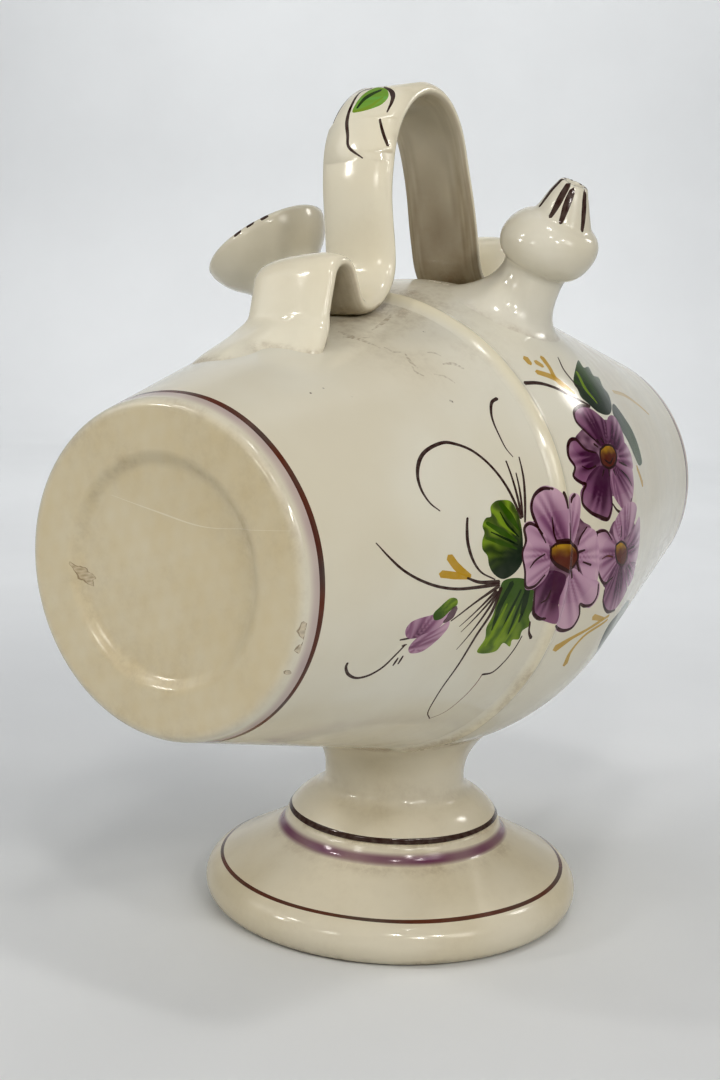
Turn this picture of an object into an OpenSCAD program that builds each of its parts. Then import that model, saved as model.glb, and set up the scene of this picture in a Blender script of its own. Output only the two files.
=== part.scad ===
// Barrel-shaped water jug on a pedestal foot.
// X runs along the barrel, with the front end at -X, and Z is up.
// The origin is the centre of the foot's underside. The spout is on the -Y side, the mouth on +Y.

/* [Barrel] */
// Outer radius at the middle of the barrel
barrel_mid_r = 82; // [72:1:98]
// Outer radius of the flat ends
barrel_end_r = 50; // [41:1:60]
// Distance from the middle of the barrel to either end
barrel_half_len = 135; // [112:1:162]
// Height of the barrel's lowest point above the table
barrel_base_z = 59; // [55:1:70]
// Thickness of the side wall
barrel_wall = 5; // [4:0.5:6]
// Thickness of the end walls
end_wall = 7; // [5.5:0.5:9]
// Rounding of the rim of each end
rim_round = 3; // [1.5:0.5:4]
// Radius of the shallow recess in each end
recess_r = 34.5; // [28:0.5:36]
// Depth of the shallow recess in each end
recess_depth = 1.6; // [0.8:0.2:2.4]
// Radius of the sloped edge of the recess
recess_edge = 3; // [2:0.5:4]

/* [Seam] */
// Distance of the joint between the halves from the middle, towards the front end
seam_offset = 30; // [25:1:36]
// Width of the raised band over the joint
band_w = 8; // [6:0.5:9]
// Height of the raised band over the barrel
band_rise = 1.5; // [1:0.1:2]

/* [Foot] */
// Outer radius of the plate
plate_r = 67; // [56:1:80]
// Radius of the roll round the plate's rim
rim_roll_r = 8; // [6.5:0.5:9.5]
// Depth of the flat that is ground off under the roll
rest_flat = 0.6; // [0.4:0.1:1]
// Radius of the collar where it meets the plate's slope
collar_r = 40.8; // [40:0.2:44]
// Height of the collar's lower edge above the table
collar_z = 26.5; // [25:0.5:28]
// Radius of the bell's lower edge
bell_r = 38; // [36:0.5:39.5]
// Height of the bell's lower edge above the table
bell_z = 32.7; // [31:0.1:34]
// Radius of the bell's curve
bell_crown_r = 21; // [19:0.5:23]
// Slope of the bell's curve at its edge, in degrees
bell_edge_angle = 31; // [27:1:35]
// Radius of the stem's waist
waist_r = 25; // [22:0.5:28]
// Height of the waist above the table
waist_z = 48; // [46:0.5:50]
// Radius of the curve between the bell and the waist
waist_fillet_r = 6; // [4:0.5:8]
// Radius of the curve that flares the stem up to the barrel
stem_flare_r = 18; // [15:0.5:22]
// Angle at which that flare meets the barrel, in degrees
stem_meet = 18; // [12:1:26]
// Thickness of the foot's wall
foot_wall = 7; // [5:0.5:8]

/* [Handle] */
// Width of the strap
strap_w = 26.5; // [22:0.5:32]
// Thickness of the strap
strap_t = 5; // [4:0.25:6]
// Squareness of the strap's section across its width
strap_edge = 5; // [3:0.5:7]
// Squareness of the strap's section through its thickness
strap_crown = 2.4; // [2:0.2:4]
// Place of the handle's middle along the barrel
handle_x = -8; // [-10:1:2]
// Lean of the handle towards the mouth, in degrees
handle_lean = 4.5; // [-6:0.5:6]
// Height of the tall arch's top above the barrel
arch_rise = 63; // [52:1:76]
// Outer radius of the tall arch's round top
arch_r = 22.5; // [19:0.5:26]
// Outward slope of the tall arch's legs, in degrees
arch_splay = 9; // [5:1:13]
// Middle-line radius of the bend from a tall leg to the barrel
trough_r = 16; // [13:0.5:18]
// Middle-line radius of the bend from the barrel to a small arch
turn_r = 6; // [5:0.5:8]
// Height of a small arch's top above the barrel below it
small_arch_rise = 19; // [16:1:24]
// Middle-line radius of a small arch's round top
small_arch_r = 5.7; // [5:0.1:7]
// Slope of a small arch's inner leg, in degrees
small_inner_splay = 23; // [18:1:28]
// Slope of a small arch's outer leg, in degrees
small_outer_splay = 17; // [12:1:22]
// Middle-line radius of the bend where an end of the strap lies down on the barrel
pad_r = 9; // [7:0.5:12]
// Angle at which the ends of the strap run into the barrel, in degrees
pad_dive = 20; // [15:1:25]
// Widening of each edge of the strap where its ends lie on the barrel
pad_flare = 3; // [0:0.5:4]
// Depth to which the strap is pressed on at the troughs
strap_seat = 0.8; // [0.4:0.1:1.4]

/* [Spout] */
// Place of the spout and the mouth along the barrel
fittings_x = 5; // [0:1:10]
// Angle of the spout's foot round the barrel from the top, in degrees
spout_angle = 26; // [24:1:32]
// Tilt of the spout's upper part from upright, in degrees
spout_tilt = 24; // [12:1:26]
// Radius of the spout's neck
spout_neck_r = 10.6; // [9.5:0.1:12]
// Height of the narrowest part of the neck
spout_neck_h = 14; // [12:0.5:16]
// Radius of the curve that flares the neck down to the barrel
spout_flare_r = 17; // [15.5:0.5:19]
// Angle at which that flare meets the barrel, in degrees
spout_meet = 12; // [8:1:20]
// Radius of the bulb at its widest
bulb_r = 16; // [14.5:0.5:18]
// Radius of the bulb's rounded side
bulb_round = 7.5; // [7:0.25:8.5]
// Height of the bulb's widest part
bulb_h = 26; // [24:0.5:27]
// Angle up the bulb's side at which the cone begins, in degrees
bulb_shoulder = 75; // [65:1:80]
// Radius of the tip
tip_r = 5.2; // [4.6:0.1:6]
// Height of the tip
tip_h = 46.5; // [44:0.5:54]
// Radius of the drinking hole
drink_hole_r = 2.4; // [2.1:0.1:2.8]
// Radius of the passage through the neck
spout_bore_r = 6.4; // [5.5:0.1:7]
// Radius of the hollow in the bulb
bulb_hollow_r = 11; // [9:0.5:11.5]
// Height at which the hollow has narrowed to the drinking hole
hollow_top_h = 36; // [34:0.5:39]

/* [Mouth] */
// Angle of the mouth round the barrel from the top, in degrees
mouth_angle = 36.5; // [33:0.5:42]
// Height of the lip above the barrel
mouth_h = 33; // [30:1:38]
// Radius of the bowl's rounded side
bowl_round = 20; // [18:0.5:22]
// Distance of the centre of that rounding from the mouth's axis
bowl_offset = 4; // [2:0.5:6]
// Height of the centre of that rounding above the lip
bowl_lift = 3; // [1:0.5:4]
// Thickness of the bowl
bowl_wall = 4; // [3:0.5:5]
// Radius of the neck under the bowl
mouth_neck_r = 12; // [11:0.5:13.5]
// Height of the narrowest part of that neck
mouth_neck_h = 10; // [8:0.5:12]
// Radius of the curve that flares the neck down to the barrel
mouth_flare_r = 13; // [11:0.5:15]
// Angle at which that flare meets the barrel, in degrees
mouth_meet = 12; // [8:1:20]
// Radius of the filling hole
fill_hole_r = 8; // [7:0.25:9]

/* [Hidden] */
$fn = 180;
glaze = [0.86, 0.83, 0.76];
glaze_warm = [0.83, 0.79, 0.70];
glaze_pale = [0.89, 0.87, 0.81];
// Size beyond the whole jug, overshoot of a cut past a face, and overlap that joins two shapes.
reach = 400;
past = 12;
lap = 1;
// Depth at which the barrel's cones start inside its round middle, so that the two cross.
tuck = 0.01;
// Degrees of bend between the rings of the strap, and points on each ring.
strap_step = 8;
strap_sides = 24;

// Slope of the barrel's cones: the lines from the ends that just touch the round middle.
corner_dist = norm([barrel_half_len, barrel_end_r]);
taper = atan2(barrel_half_len, barrel_end_r) - acos(barrel_mid_r / corner_dist);
barrel_axis_z = barrel_base_z + barrel_mid_r;
inner_mid_r = barrel_mid_r - barrel_wall;
inner_half_len = barrel_half_len - end_wall;

// Centre of the roll round the plate's rim, sunk by the flat that it rests on.
roll_centre = [plate_r - rim_roll_r, rim_roll_r - rest_flat];

// Curves of the stem.
bell_centre = [bell_r - bell_crown_r * cos(bell_edge_angle), bell_z - bell_crown_r * sin(bell_edge_angle)];
fillet_reach = bell_crown_r + waist_fillet_r;
fillet_out = waist_r + waist_fillet_r - bell_centre[0];
fillet_centre = [waist_r + waist_fillet_r, bell_centre[1] + sqrt(fillet_reach ^ 2 - fillet_out ^ 2)];
bell_touch = bell_centre + (fillet_centre - bell_centre) * bell_crown_r / fillet_reach;
hollow_r = waist_r - foot_wall;
bell_hollow_r = bell_r - foot_wall;

// Middle line of the strap.
arch_mid_r = arch_r - strap_t / 2;
arch_centre_z = barrel_mid_r + arch_rise - arch_r;
leg_top_z = arch_centre_z + arch_mid_r * sin(arch_splay);
trough_drop = trough_r * (1 - sin(arch_splay));
seat_lift = strap_t / 2 - strap_seat;
pad_heading = 90 - taper - pad_dive;

// Radius of the barrel's outer surface at a distance along its axis from the middle.
function barrel_r(x) =
    abs(x) < barrel_mid_r * sin(taper)
        ? sqrt(barrel_mid_r ^ 2 - x ^ 2)
        : (barrel_mid_r - abs(x) * sin(taper)) / cos(taper);

// Slope of the barrel's outer surface at a distance along its axis from the middle, in degrees.
function barrel_slope(x) = min(asin(min(1, abs(x) / barrel_mid_r)), taper);

// Radius, at a given end distance, of the cone that just touches a round middle.
function cone_end_r(mid_r, half_len) = (mid_r - half_len * sin(taper)) / cos(taper);

// Distance from the handle's middle to the lowest point of a trough, with the leg's slope and the
// barrel's taper both taken in. Side is -1 towards the front end and 1 towards the rear end.
function trough_x(side) =
    let (level = (barrel_mid_r - side * handle_x * sin(taper)) / cos(taper) + seat_lift)
    ((arch_mid_r + trough_r) * cos(arch_splay)
        + tan(arch_splay) * (leg_top_z - trough_drop - level)) / (1 - tan(arch_splay) * tan(taper));

// Height of the strap's middle line at a trough above the barrel's axis.
function trough_z(side) = barrel_r(handle_x + side * trough_x(side)) + seat_lift;

// Half profile of a barrel: two cones, a round middle and rounded rims. The axis is Y.
module barrel_profile(mid_r, half_len, rim) {
    end_r = cone_end_r(mid_r, half_len);
    start = (mid_r - tuck) * [cos(taper), sin(taper)];
    rim_x = end_r + rim * tan(taper) - rim / cos(taper);
    rim_touch = [rim_x + rim * cos(taper), half_len - rim + rim * sin(taper)];
    circle(mid_r);
    for (side = [-1, 1])
        scale([1, side])
            union() {
                polygon([[0, 0], start, rim_touch, [rim_x, half_len], [0, half_len]]);
                translate([rim_x, half_len - rim])
                    circle(rim);
            }
}

// Turns a half profile about the barrel's axis and lifts it to its height.
module about_barrel() {
    translate([0, 0, barrel_axis_z])
        rotate([0, 90, 0])
            rotate_extrude()
                intersection() {
                    children();
                    translate([0, -reach])
                        square([reach, 2 * reach]);
                }
}

module barrel_outer() {
    about_barrel()
        barrel_profile(barrel_mid_r, barrel_half_len, rim_round);
}

// Hollow barrel with a recess in each end.
module barrel_wall_profile() {
    difference() {
        barrel_profile(barrel_mid_r, barrel_half_len, rim_round);
        barrel_profile(inner_mid_r, inner_half_len, rim_round);
        for (side = [-1, 1])
            scale([1, side])
                translate([0, barrel_half_len - recess_depth])
                    polygon([[0, 0], [recess_r - recess_edge, 0], [recess_r, recess_depth],
                             [recess_r, recess_depth + past], [0, recess_depth + past]]);
    }
}

// The stretch of a barrel profile between two distances along the axis.
module between(from, to) {
    intersection() {
        children();
        translate([0, from])
            square([reach, to - from]);
    }
}

// Places a fitting square on the barrel, at an angle from the top.
module on_barrel(angle) {
    translate([fittings_x, 0, barrel_axis_z])
        rotate([angle, 0, 0])
            translate([0, 0, barrel_mid_r])
                children();
}

// Half profile of a neck that flares. It curves out from its narrowest part at height 0, one way to a
// slope on which it runs into the barrel, and the other way by a given distance. Way is 1 where the
// barrel is above and -1 where it is below.
module flare_profile(neck_r, curve_r, meet, way, other) {
    centre = [neck_r + curve_r, 0];
    slope = meet + asin(centre[0] / barrel_mid_r);
    edge = centre + curve_r * [-sin(slope), way * cos(slope)];
    far = edge + curve_r * [cos(slope), way * sin(slope)];
    outline = [[0, -way * other], [centre[0], -way * other], centre, edge, far, [0, far[1]]];
    last = len(outline) - 1;
    difference() {
        polygon([for (i = [0 : last]) outline[way > 0 ? i : last - i]]);
        translate(centre)
            circle(curve_r);
    }
}

module passage(radius) {
    translate([0, 0, -barrel_wall - past])
        cylinder(h = barrel_wall + 2 * past, r = radius);
}

module front_shell() {
    color(glaze)
        about_barrel()
            between(-reach, -seam_offset)
                barrel_wall_profile();
}

module rear_shell() {
    color(glaze_pale)
        difference() {
            about_barrel()
                between(-seam_offset, reach)
                    barrel_wall_profile();
            on_barrel(spout_angle)
                passage(spout_bore_r);
            on_barrel(-mouth_angle)
                passage(fill_hole_r);
        }
}

// Section of the band: the cap of a circle of the band's width and rise.
module seam_profile() {
    cap_r = (band_w ^ 2 / 4 + band_rise ^ 2) / (2 * band_rise);
    sunk = cap_r - band_rise;
    slope = barrel_slope(seam_offset);
    translate([barrel_r(seam_offset) - sunk * cos(slope), -seam_offset + sunk * sin(slope)])
        circle(cap_r);
}

// A low ring over the joint, which stops where the stem is luted on.
module seam_band() {
    color(glaze_warm)
        difference() {
            about_barrel()
                difference() {
                    seam_profile();
                    barrel_profile(barrel_mid_r, barrel_half_len, rim_round);
                }
            rotate_extrude()
                stem_profile();
        }
}

// Half profile of the stem's outside: a flare under the barrel, a waist and a bell with a crisp edge.
module stem_profile() {
    difference() {
        union() {
            intersection() {
                translate(bell_centre)
                    circle(bell_crown_r);
                translate([bell_centre[0], bell_z])
                    square(2 * bell_crown_r);
            }
            translate([0, bell_z])
                square([waist_r, waist_z - bell_z + lap]);
            difference() {
                polygon([bell_centre, bell_touch, fillet_centre, [bell_centre[0], fillet_centre[1]]]);
                translate(fillet_centre)
                    circle(waist_fillet_r);
            }
            translate([0, waist_z])
                flare_profile(waist_r, stem_flare_r, stem_meet, 1, 0);
        }
        square([reach, bell_z]);
    }
}

module foot_stem() {
    color(glaze_warm)
        difference() {
            rotate_extrude()
                difference() {
                    stem_profile();
                    polygon([[0, bell_z], [bell_hollow_r, bell_z], [hollow_r, fillet_centre[1]],
                             [hollow_r, barrel_axis_z], [0, barrel_axis_z]]);
                }
            barrel_outer();
        }
}

// Hollow plate: a collar, a slope and a rolled rim with a flat to rest on.
module foot_plate() {
    slope = roll_centre - [collar_r, collar_z];
    slope_len = norm(slope);
    slope_angle = atan2(slope[1], slope[0]) + asin(rim_roll_r / slope_len);
    slope_run = sqrt(slope_len ^ 2 - rim_roll_r ^ 2);
    roll_touch = [collar_r, collar_z] + slope_run * [cos(slope_angle), sin(slope_angle)];
    ring_r = roll_centre[0] - rim_roll_r + lap;
    color(glaze_warm)
        rotate_extrude()
            intersection() {
                difference() {
                    union() {
                        polygon([[0, 0], [roll_centre[0], 0], roll_centre, roll_touch,
                                 [collar_r, collar_z], [bell_r, bell_z], [0, bell_z]]);
                        translate(roll_centre)
                            circle(rim_roll_r);
                    }
                    polygon([[0, 0], [ring_r, 0], [ring_r, roll_touch[1] - foot_wall / 2],
                             [bell_hollow_r, collar_z - foot_wall / 2], [bell_hollow_r, bell_z],
                             [0, bell_z]]);
                }
                square([reach, bell_z]);
            }
}

// Place [x, z, heading, press] reached after a stretch. With no turn its size is a length, and with one
// it is a radius. A turn to the left is positive. Press is 0 where the strap is free and 1 where it is
// pressed on.
function onward(place, size, turn, press) =
    let (a = place[2], b = a + turn)
    turn == 0
        ? [place[0] + size * cos(a), place[1] + size * sin(a), a, press]
        : [place[0] + sign(turn) * size * (sin(b) - sin(a)),
           place[1] + sign(turn) * size * (cos(a) - cos(b)), b, press];

// Places along a list of stretches [size, turn, press], with one for every few degrees of a bend.
function along(place, stretches, k = 0) =
    k == len(stretches)
        ? []
        : let (
            size = stretches[k][0],
            turn = stretches[k][1],
            press = stretches[k][2],
            count = max(1, ceil(abs(turn) / strap_step)),
            places = [for (i = [1 : count])
                onward(place, size, turn * i / count, place[3] + (press - place[3]) * i / count)]
        )
        concat(places, along(places[count - 1], stretches, k + 1));

// Middle line of half the strap, from the top of the tall arch to the end that lies on the barrel.
function strap_half(side) =
    let (
        seat_z = trough_z(side),
        peak_z = seat_z - seat_lift + small_arch_rise - strap_t / 2 - small_arch_r,
        leg = (leg_top_z - seat_z - trough_drop) / cos(arch_splay),
        turn_rise = turn_r * (1 - sin(small_inner_splay)),
        rise = peak_z + small_arch_r * sin(small_inner_splay) - seat_z - turn_rise,
        turn_out = (turn_r + small_arch_r) * cos(small_inner_splay),
        peak_x = trough_x(side) + turn_out + rise * tan(small_inner_splay),
        ground = barrel_r(handle_x + side * (peak_x + small_arch_r + pad_r)) + strap_t / 2,
        bend_drop = pad_r * (sin(pad_heading) - sin(small_outer_splay)),
        fall = peak_z + small_arch_r * sin(small_outer_splay) - ground - bend_drop
    )
    along([0, arch_centre_z + arch_mid_r, 0, 0], [
        [arch_mid_r, -(90 - arch_splay), 0],
        [leg, 0, 0],
        [trough_r, 90 - arch_splay, 0],
        [turn_r, 90 - small_inner_splay, 0],
        [rise / cos(small_inner_splay), 0, 0],
        [small_arch_r, -(180 - small_inner_splay - small_outer_splay), 0],
        [fall / cos(small_outer_splay), 0, 0],
        [pad_r, pad_heading - small_outer_splay, 0.5],
        [2 * strap_t / sin(pad_dive), 0, 1],
    ]);

function signed_power(value, power) = sign(value) * abs(value) ^ power;

// One ring of the strap's skin: a rounded bar across the middle line at a place on one side. Where the
// strap is pressed on, the bar widens and follows the barrel's roundness.
function strap_ring(side, place) =
    let (
        half_w = strap_w / 2 + pad_flare * place[3],
        bow = place[3] / (2 * barrel_r(handle_x + side * place[0])),
        out = [-side * sin(place[2]), cos(place[2])]
    )
    [for (i = [0 : strap_sides - 1])
        let (
            a = 360 * (i + 0.5) / strap_sides,
            across = half_w * signed_power(cos(a), 2 / strap_edge),
            proud = strap_t / 2 * signed_power(sin(a), 2 / strap_crown) - bow * across ^ 2
        )
        [side * place[0] + proud * out[0], across, place[1] + proud * out[1]]];

// The ribbon before it meets the barrel: a small arch, a trough, the tall arch and the same again.
module strap_loft() {
    front = strap_half(-1);
    rear = strap_half(1);
    top = [0, arch_centre_z + arch_mid_r, 0, 0];
    rings = concat(
        [for (k = [len(front) - 1 : -1 : 0]) strap_ring(-1, front[k])],
        [strap_ring(1, top)],
        [for (place = rear) strap_ring(1, place)]);
    last = len(rings) - 1;
    function at(k, i) = k * strap_sides + i % strap_sides;
    skin = [for (k = [0 : last - 1], i = [0 : strap_sides - 1], half = [0, 1])
        half == 0 ? [at(k, i), at(k, i + 1), at(k + 1, i)]
                  : [at(k, i + 1), at(k + 1, i + 1), at(k + 1, i)]];
    front_cap = [for (i = [strap_sides - 1 : -1 : 0]) at(0, i)];
    rear_cap = [for (i = [0 : strap_sides - 1]) at(last, i)];
    polyhedron([for (ring = rings) each ring], concat(skin, [front_cap, rear_cap]), convexity = 8);
}

module strap_handle() {
    lean_z = barrel_r(handle_x + trough_x(1));
    color(glaze_pale)
        difference() {
            translate([handle_x, 0, barrel_axis_z + lean_z])
                rotate([-handle_lean, 0, 0])
                    translate([0, 0, -lean_z])
                        strap_loft();
            barrel_outer();
            about_barrel()
                seam_profile();
        }
}

// Bowl on a neck, with the filling hole through both.
module filling_mouth() {
    bowl_centre = [bowl_offset, mouth_h + bowl_lift];
    inner_round = bowl_round - bowl_wall;
    lip_out = bowl_offset + sqrt(bowl_round ^ 2 - bowl_lift ^ 2);
    lip_in = bowl_offset + sqrt(inner_round ^ 2 - bowl_lift ^ 2);
    flare_centre = [mouth_neck_r + mouth_flare_r, mouth_neck_h];
    color(glaze)
        difference() {
            on_barrel(-mouth_angle)
                rotate_extrude()
                    difference() {
                        union() {
                            intersection() {
                                union() {
                                    translate(bowl_centre)
                                        circle(bowl_round);
                                    translate([0, bowl_centre[1] - bowl_round])
                                        square([bowl_offset, bowl_round]);
                                }
                                square([reach, mouth_h]);
                            }
                            translate([0, mouth_neck_h])
                                flare_profile(mouth_neck_r, mouth_flare_r, mouth_meet, -1, lap);
                            difference() {
                                polygon([[0, mouth_neck_h], flare_centre, bowl_centre,
                                         [0, bowl_centre[1] - inner_round / 2]]);
                                translate(flare_centre)
                                    circle(mouth_flare_r);
                            }
                            translate([(lip_out + lip_in) / 2, mouth_h])
                                circle((lip_out - lip_in) / 2);
                        }
                        translate(bowl_centre)
                            circle(inner_round);
                        translate([0, bowl_centre[1] - inner_round])
                            square([bowl_offset, inner_round]);
                        translate([0, -reach])
                            square([fill_hole_r, 2 * reach]);
                    }
            barrel_outer();
        }
}

// Leans what is above the spout's neck to its own tilt.
module above_neck() {
    translate([0, 0, spout_neck_h])
        rotate([spout_tilt - spout_angle, 0, 0])
            translate([0, 0, -spout_neck_h])
                children();
}

// Half profile of the spout above its neck: a bulb and a cone with a rounded tip.
module spout_profile() {
    bulb_centre = [bulb_r - bulb_round, bulb_h];
    neck_top = bulb_h - bulb_round / 2;
    shoulder = bulb_centre + bulb_round * [cos(bulb_shoulder), sin(bulb_shoulder)];
    tip_round = (tip_r - drink_hole_r) / 2;
    tip_start = tip_h - tip_round;
    difference() {
        translate([0, spout_neck_h - lap])
            square([bulb_centre[0] + bulb_round, neck_top - spout_neck_h + lap]);
        translate([spout_neck_r + spout_flare_r, spout_neck_h])
            circle(spout_flare_r);
    }
    translate(bulb_centre)
        circle(bulb_round);
    polygon([[0, neck_top], [bulb_centre[0], neck_top], shoulder, [tip_r, tip_start], [0, tip_start]]);
    translate([drink_hole_r + tip_round, tip_start])
        circle(tip_round);
}

// Half profile of the hollow in the spout above its neck.
module spout_hollow() {
    polygon([[0, spout_neck_h], [spout_bore_r, spout_neck_h], [spout_bore_r, bulb_h - bulb_round],
             [bulb_hollow_r, bulb_h - bulb_round / 3], [bulb_hollow_r, bulb_h + bulb_round / 4],
             [drink_hole_r, hollow_top_h], [drink_hole_r, reach], [0, reach]]);
}

// Flared neck, bulb and pierced cone, with a passage that follows them.
module drinking_spout() {
    color(glaze_pale)
        difference() {
            on_barrel(spout_angle)
                difference() {
                    union() {
                        rotate_extrude()
                            translate([0, spout_neck_h])
                                flare_profile(spout_neck_r, spout_flare_r, spout_meet, -1, lap);
                        above_neck()
                            rotate_extrude()
                                spout_profile();
                    }
                    translate([0, 0, -past])
                        cylinder(h = spout_neck_h + past, r = spout_bore_r);
                    translate([0, 0, spout_neck_h])
                        sphere(spout_bore_r);
                    above_neck()
                        rotate_extrude()
                            spout_hollow();
                }
            barrel_outer();
        }
}

front_shell();
rear_shell();
seam_band();
foot_stem();
foot_plate();
strap_handle();
filling_mouth();
drinking_spout();
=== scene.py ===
"""Looks of a barrel-shaped water jug: glazed skins, painted flowers and rings, studio and camera.

Lengths are millimetres in the jug's own frame until a mesh is made, and metres after that.
"""

from __future__ import annotations

import logging
import math
from collections.abc import Callable, Sequence
from dataclasses import dataclass
from enum import Enum

import bpy
import numpy as np
from mathutils import Matrix, Vector
from mathutils.geometry import delaunay_2d_cdt
from mathutils.kdtree import KDTree

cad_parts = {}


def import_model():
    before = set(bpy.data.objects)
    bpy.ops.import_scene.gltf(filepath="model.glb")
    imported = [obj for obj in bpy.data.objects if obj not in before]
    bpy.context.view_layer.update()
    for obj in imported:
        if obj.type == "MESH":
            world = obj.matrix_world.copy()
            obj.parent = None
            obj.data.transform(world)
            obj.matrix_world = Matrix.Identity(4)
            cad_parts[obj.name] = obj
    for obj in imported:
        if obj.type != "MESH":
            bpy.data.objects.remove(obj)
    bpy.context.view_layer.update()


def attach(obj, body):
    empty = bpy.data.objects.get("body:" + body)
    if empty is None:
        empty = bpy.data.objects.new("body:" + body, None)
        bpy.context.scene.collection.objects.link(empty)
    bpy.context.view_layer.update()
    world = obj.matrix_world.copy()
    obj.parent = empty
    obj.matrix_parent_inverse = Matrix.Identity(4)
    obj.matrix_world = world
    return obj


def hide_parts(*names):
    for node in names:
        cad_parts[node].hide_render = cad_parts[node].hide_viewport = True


LOG = logging.getLogger("jug")
MM = 0.001
TURN = 2 * math.pi
PAINT_GAP = 0.9
MARK_GAP = 0.8
EDGE_MARGIN = 0.25
CROWD_CELL = 0.7
WELD_GAP = 0.04
TINY = 1e-9
FAR_OFF = 1e4
NET_GAP = 1e-5

Array = np.ndarray
Piece = bpy.types.Object
Socket = bpy.types.NodeSocket
Place = Callable[[Array, Array], Array]
Tint = Callable[[Array], Array]
Grime = Callable[[Array], Array]
Pixels = tuple[float, ...]
Pairs = tuple[tuple[float, float], ...]
Widths = tuple[float, ...]
Triple = tuple[float, float, float]
Strip = tuple[float, float]
STEP = np.array([0.0, 1.0])


def rise(low: float, high: float, value: Array | float) -> Array:
    """Gives a smooth step, 0 at low and 1 at high, which may be the smaller of the two."""
    part = np.clip((np.asarray(value, float) - low) / (high - low), 0.0, 1.0)
    return part * part * (3.0 - 2.0 * part)


def hump(value: Array, middle: float, spread: float) -> Array:
    """Gives a soft bump, 1 at its middle and next to nothing two spreads away."""
    return np.exp(-(((value - middle) / spread) ** 2))


def between(start: Array | float, end: Array | float, share: Array | float) -> Array:
    """Goes a share of the way from one value to another."""
    return start + (end - start) * share


def swept(share: Array, stops: Sequence[Array | float]) -> Array:
    """Gives values on the way from the first of four stops to the last; the middle two pull."""
    pulls = (1 - share) ** 3, 3 * share * (1 - share) ** 2, 3 * share**2 * (1 - share), share**3
    return sum(pull * stop for pull, stop in zip(pulls, stops))


def walked(line: Array) -> Array:
    """Gives the distance along a line to each of its points."""
    return np.concatenate([[0.0], np.cumsum(np.linalg.norm(np.diff(line, axis=0), axis=1))])


def ripple(spots: Array, pitch: float, seed: float = 0.0) -> Array:
    """Gives slow uneven waves between -1 and 1, for work that a hand has done.

    Args:
        spots: Points, with two coordinates each.
        pitch: Rough length of a wave.
        seed: Shift that makes one set of waves differ from another.

    Returns:
        A number for each point.
    """
    x, y = spots[..., 0] / pitch * 2.0, spots[..., 1] / pitch * 2.0
    first = np.sin(1.7 * x + 2.3 * y + seed)
    second = np.sin(2.1 * seed - 2.9 * x + 1.3 * y)
    third = np.sin(0.7 * x - 3.7 * y + 0.6 * seed)
    return (first + second + third) / 3.0


def smooth_path(knots: Pairs | Pixels | Array, gap: float, closed: bool = False) -> Array:
    """Draws a smooth line through knots.

    Args:
        knots: Points to pass through, as pairs or as their coordinates in turn.
        gap: Rough distance between the points of the line.
        closed: Whether the line runs back to its first knot.

    Returns:
        The points of the line.
    """
    ends = np.asarray(knots, float).reshape(-1, 2)
    if closed:
        ends = np.vstack([ends[-1:], ends, ends[:2]])
    else:
        ends = np.vstack([2 * ends[:1] - ends[1:2], ends, 2 * ends[-1:] - ends[-2:-1]])
    runs = []
    for a, b, c, d in zip(ends, ends[1:], ends[2:], ends[3:]):
        count = max(2, math.ceil(np.linalg.norm(c - b) / gap))
        k = [max(1e-6, float(np.linalg.norm(q - p))) ** 0.5 for p, q in ((a, b), (b, c), (c, d))]
        leave = ((b - a) / k[0] - (c - a) / (k[0] + k[1]) + (c - b) / k[1]) * k[1]
        arrive = ((c - b) / k[1] - (d - b) / (k[1] + k[2]) + (d - c) / k[2]) * k[1]
        t = np.linspace(0, 1, count, endpoint=False)[:, None]
        near = (2 * t**3 - 3 * t**2 + 1) * b + (t**3 - 2 * t**2 + t) * leave
        runs.append(near + ((3 * t**2 - 2 * t**3) * c + (t**3 - t**2) * arrive))
    if not closed:
        runs.append(ends[-2:-1])
    return np.vstack(runs)


def bow(centre: Sequence[float], radius: float, start: float, end: float, count: int) -> Array:
    """Gives points along an arc, from one angle in degrees to another."""
    turn = np.radians(np.linspace(start, end, count))
    return np.asarray(centre) + radius * np.stack([np.cos(turn), np.sin(turn)], axis=1)


def even_film(strength: float) -> Grime:
    """Makes an even film of dirt."""
    return lambda points: np.full(len(points), strength)


class Pigment(Enum):
    """Colours on the painter's palette and of wear, with one brown that also paints shade and one yellow
    that paints a highlight, as display red, green and blue.
    """

    BROWN = (0.190, 0.020, 0.014)
    RUST = (0.420, 0.190, 0.100)
    LILAC = (0.790, 0.655, 0.720)
    VIOLET = (0.545, 0.360, 0.480)
    MAUVE = (0.44, 0.22, 0.36)
    PLUM = (0.285, 0.055, 0.225)
    OCHRE = (0.740, 0.590, 0.130)
    AMBER = (0.370, 0.135, 0.015)
    LEAF = (0.225, 0.355, 0.035)
    PINE = (0.025, 0.140, 0.030)
    LIME = (0.520, 0.620, 0.140)
    SPRING = (0.350, 0.660, 0.130)
    CREAM = (0.82, 0.75, 0.585)
    CLAY = (0.880, 0.820, 0.710)
    # A light butter-yellow, painted as a highlight along the seam band.
    BUTTER_HIGHLIGHT = (0.900, 0.855, 0.720)
    DUST = (0.480, 0.375, 0.260)
    # Brown of the chip edges, and of the painted shade on the strap's inner face.
    STAIN_AND_SHADE = (0.430, 0.360, 0.250)
    FROST = (0.930, 0.910, 0.860)

    @property
    def linear(self) -> Array:
        """The colour in scene light."""
        shown = np.array(self.value)
        return np.where(shown <= 0.04045, shown / 12.92, ((shown + 0.055) / 1.055) ** 2.4)

    def coat(self, strength: Array) -> Array:
        """Gives red, green, blue and opacity for points with these strengths."""
        return np.column_stack([np.tile(self.linear, (len(strength), 1)), strength])

    def into(self, other: Pigment, share: Array) -> Array:
        """Gives the colours on the way to another pigment."""
        return between(self.linear, other.linear, share)


class Slot(Enum):
    """Names of finishes, one of which each piece carries."""

    BODY = "glaze_body"
    FOOT = "glaze_foot"
    HANDLE = "glaze_handle"
    FITTINGS = "glaze_fittings"


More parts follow.
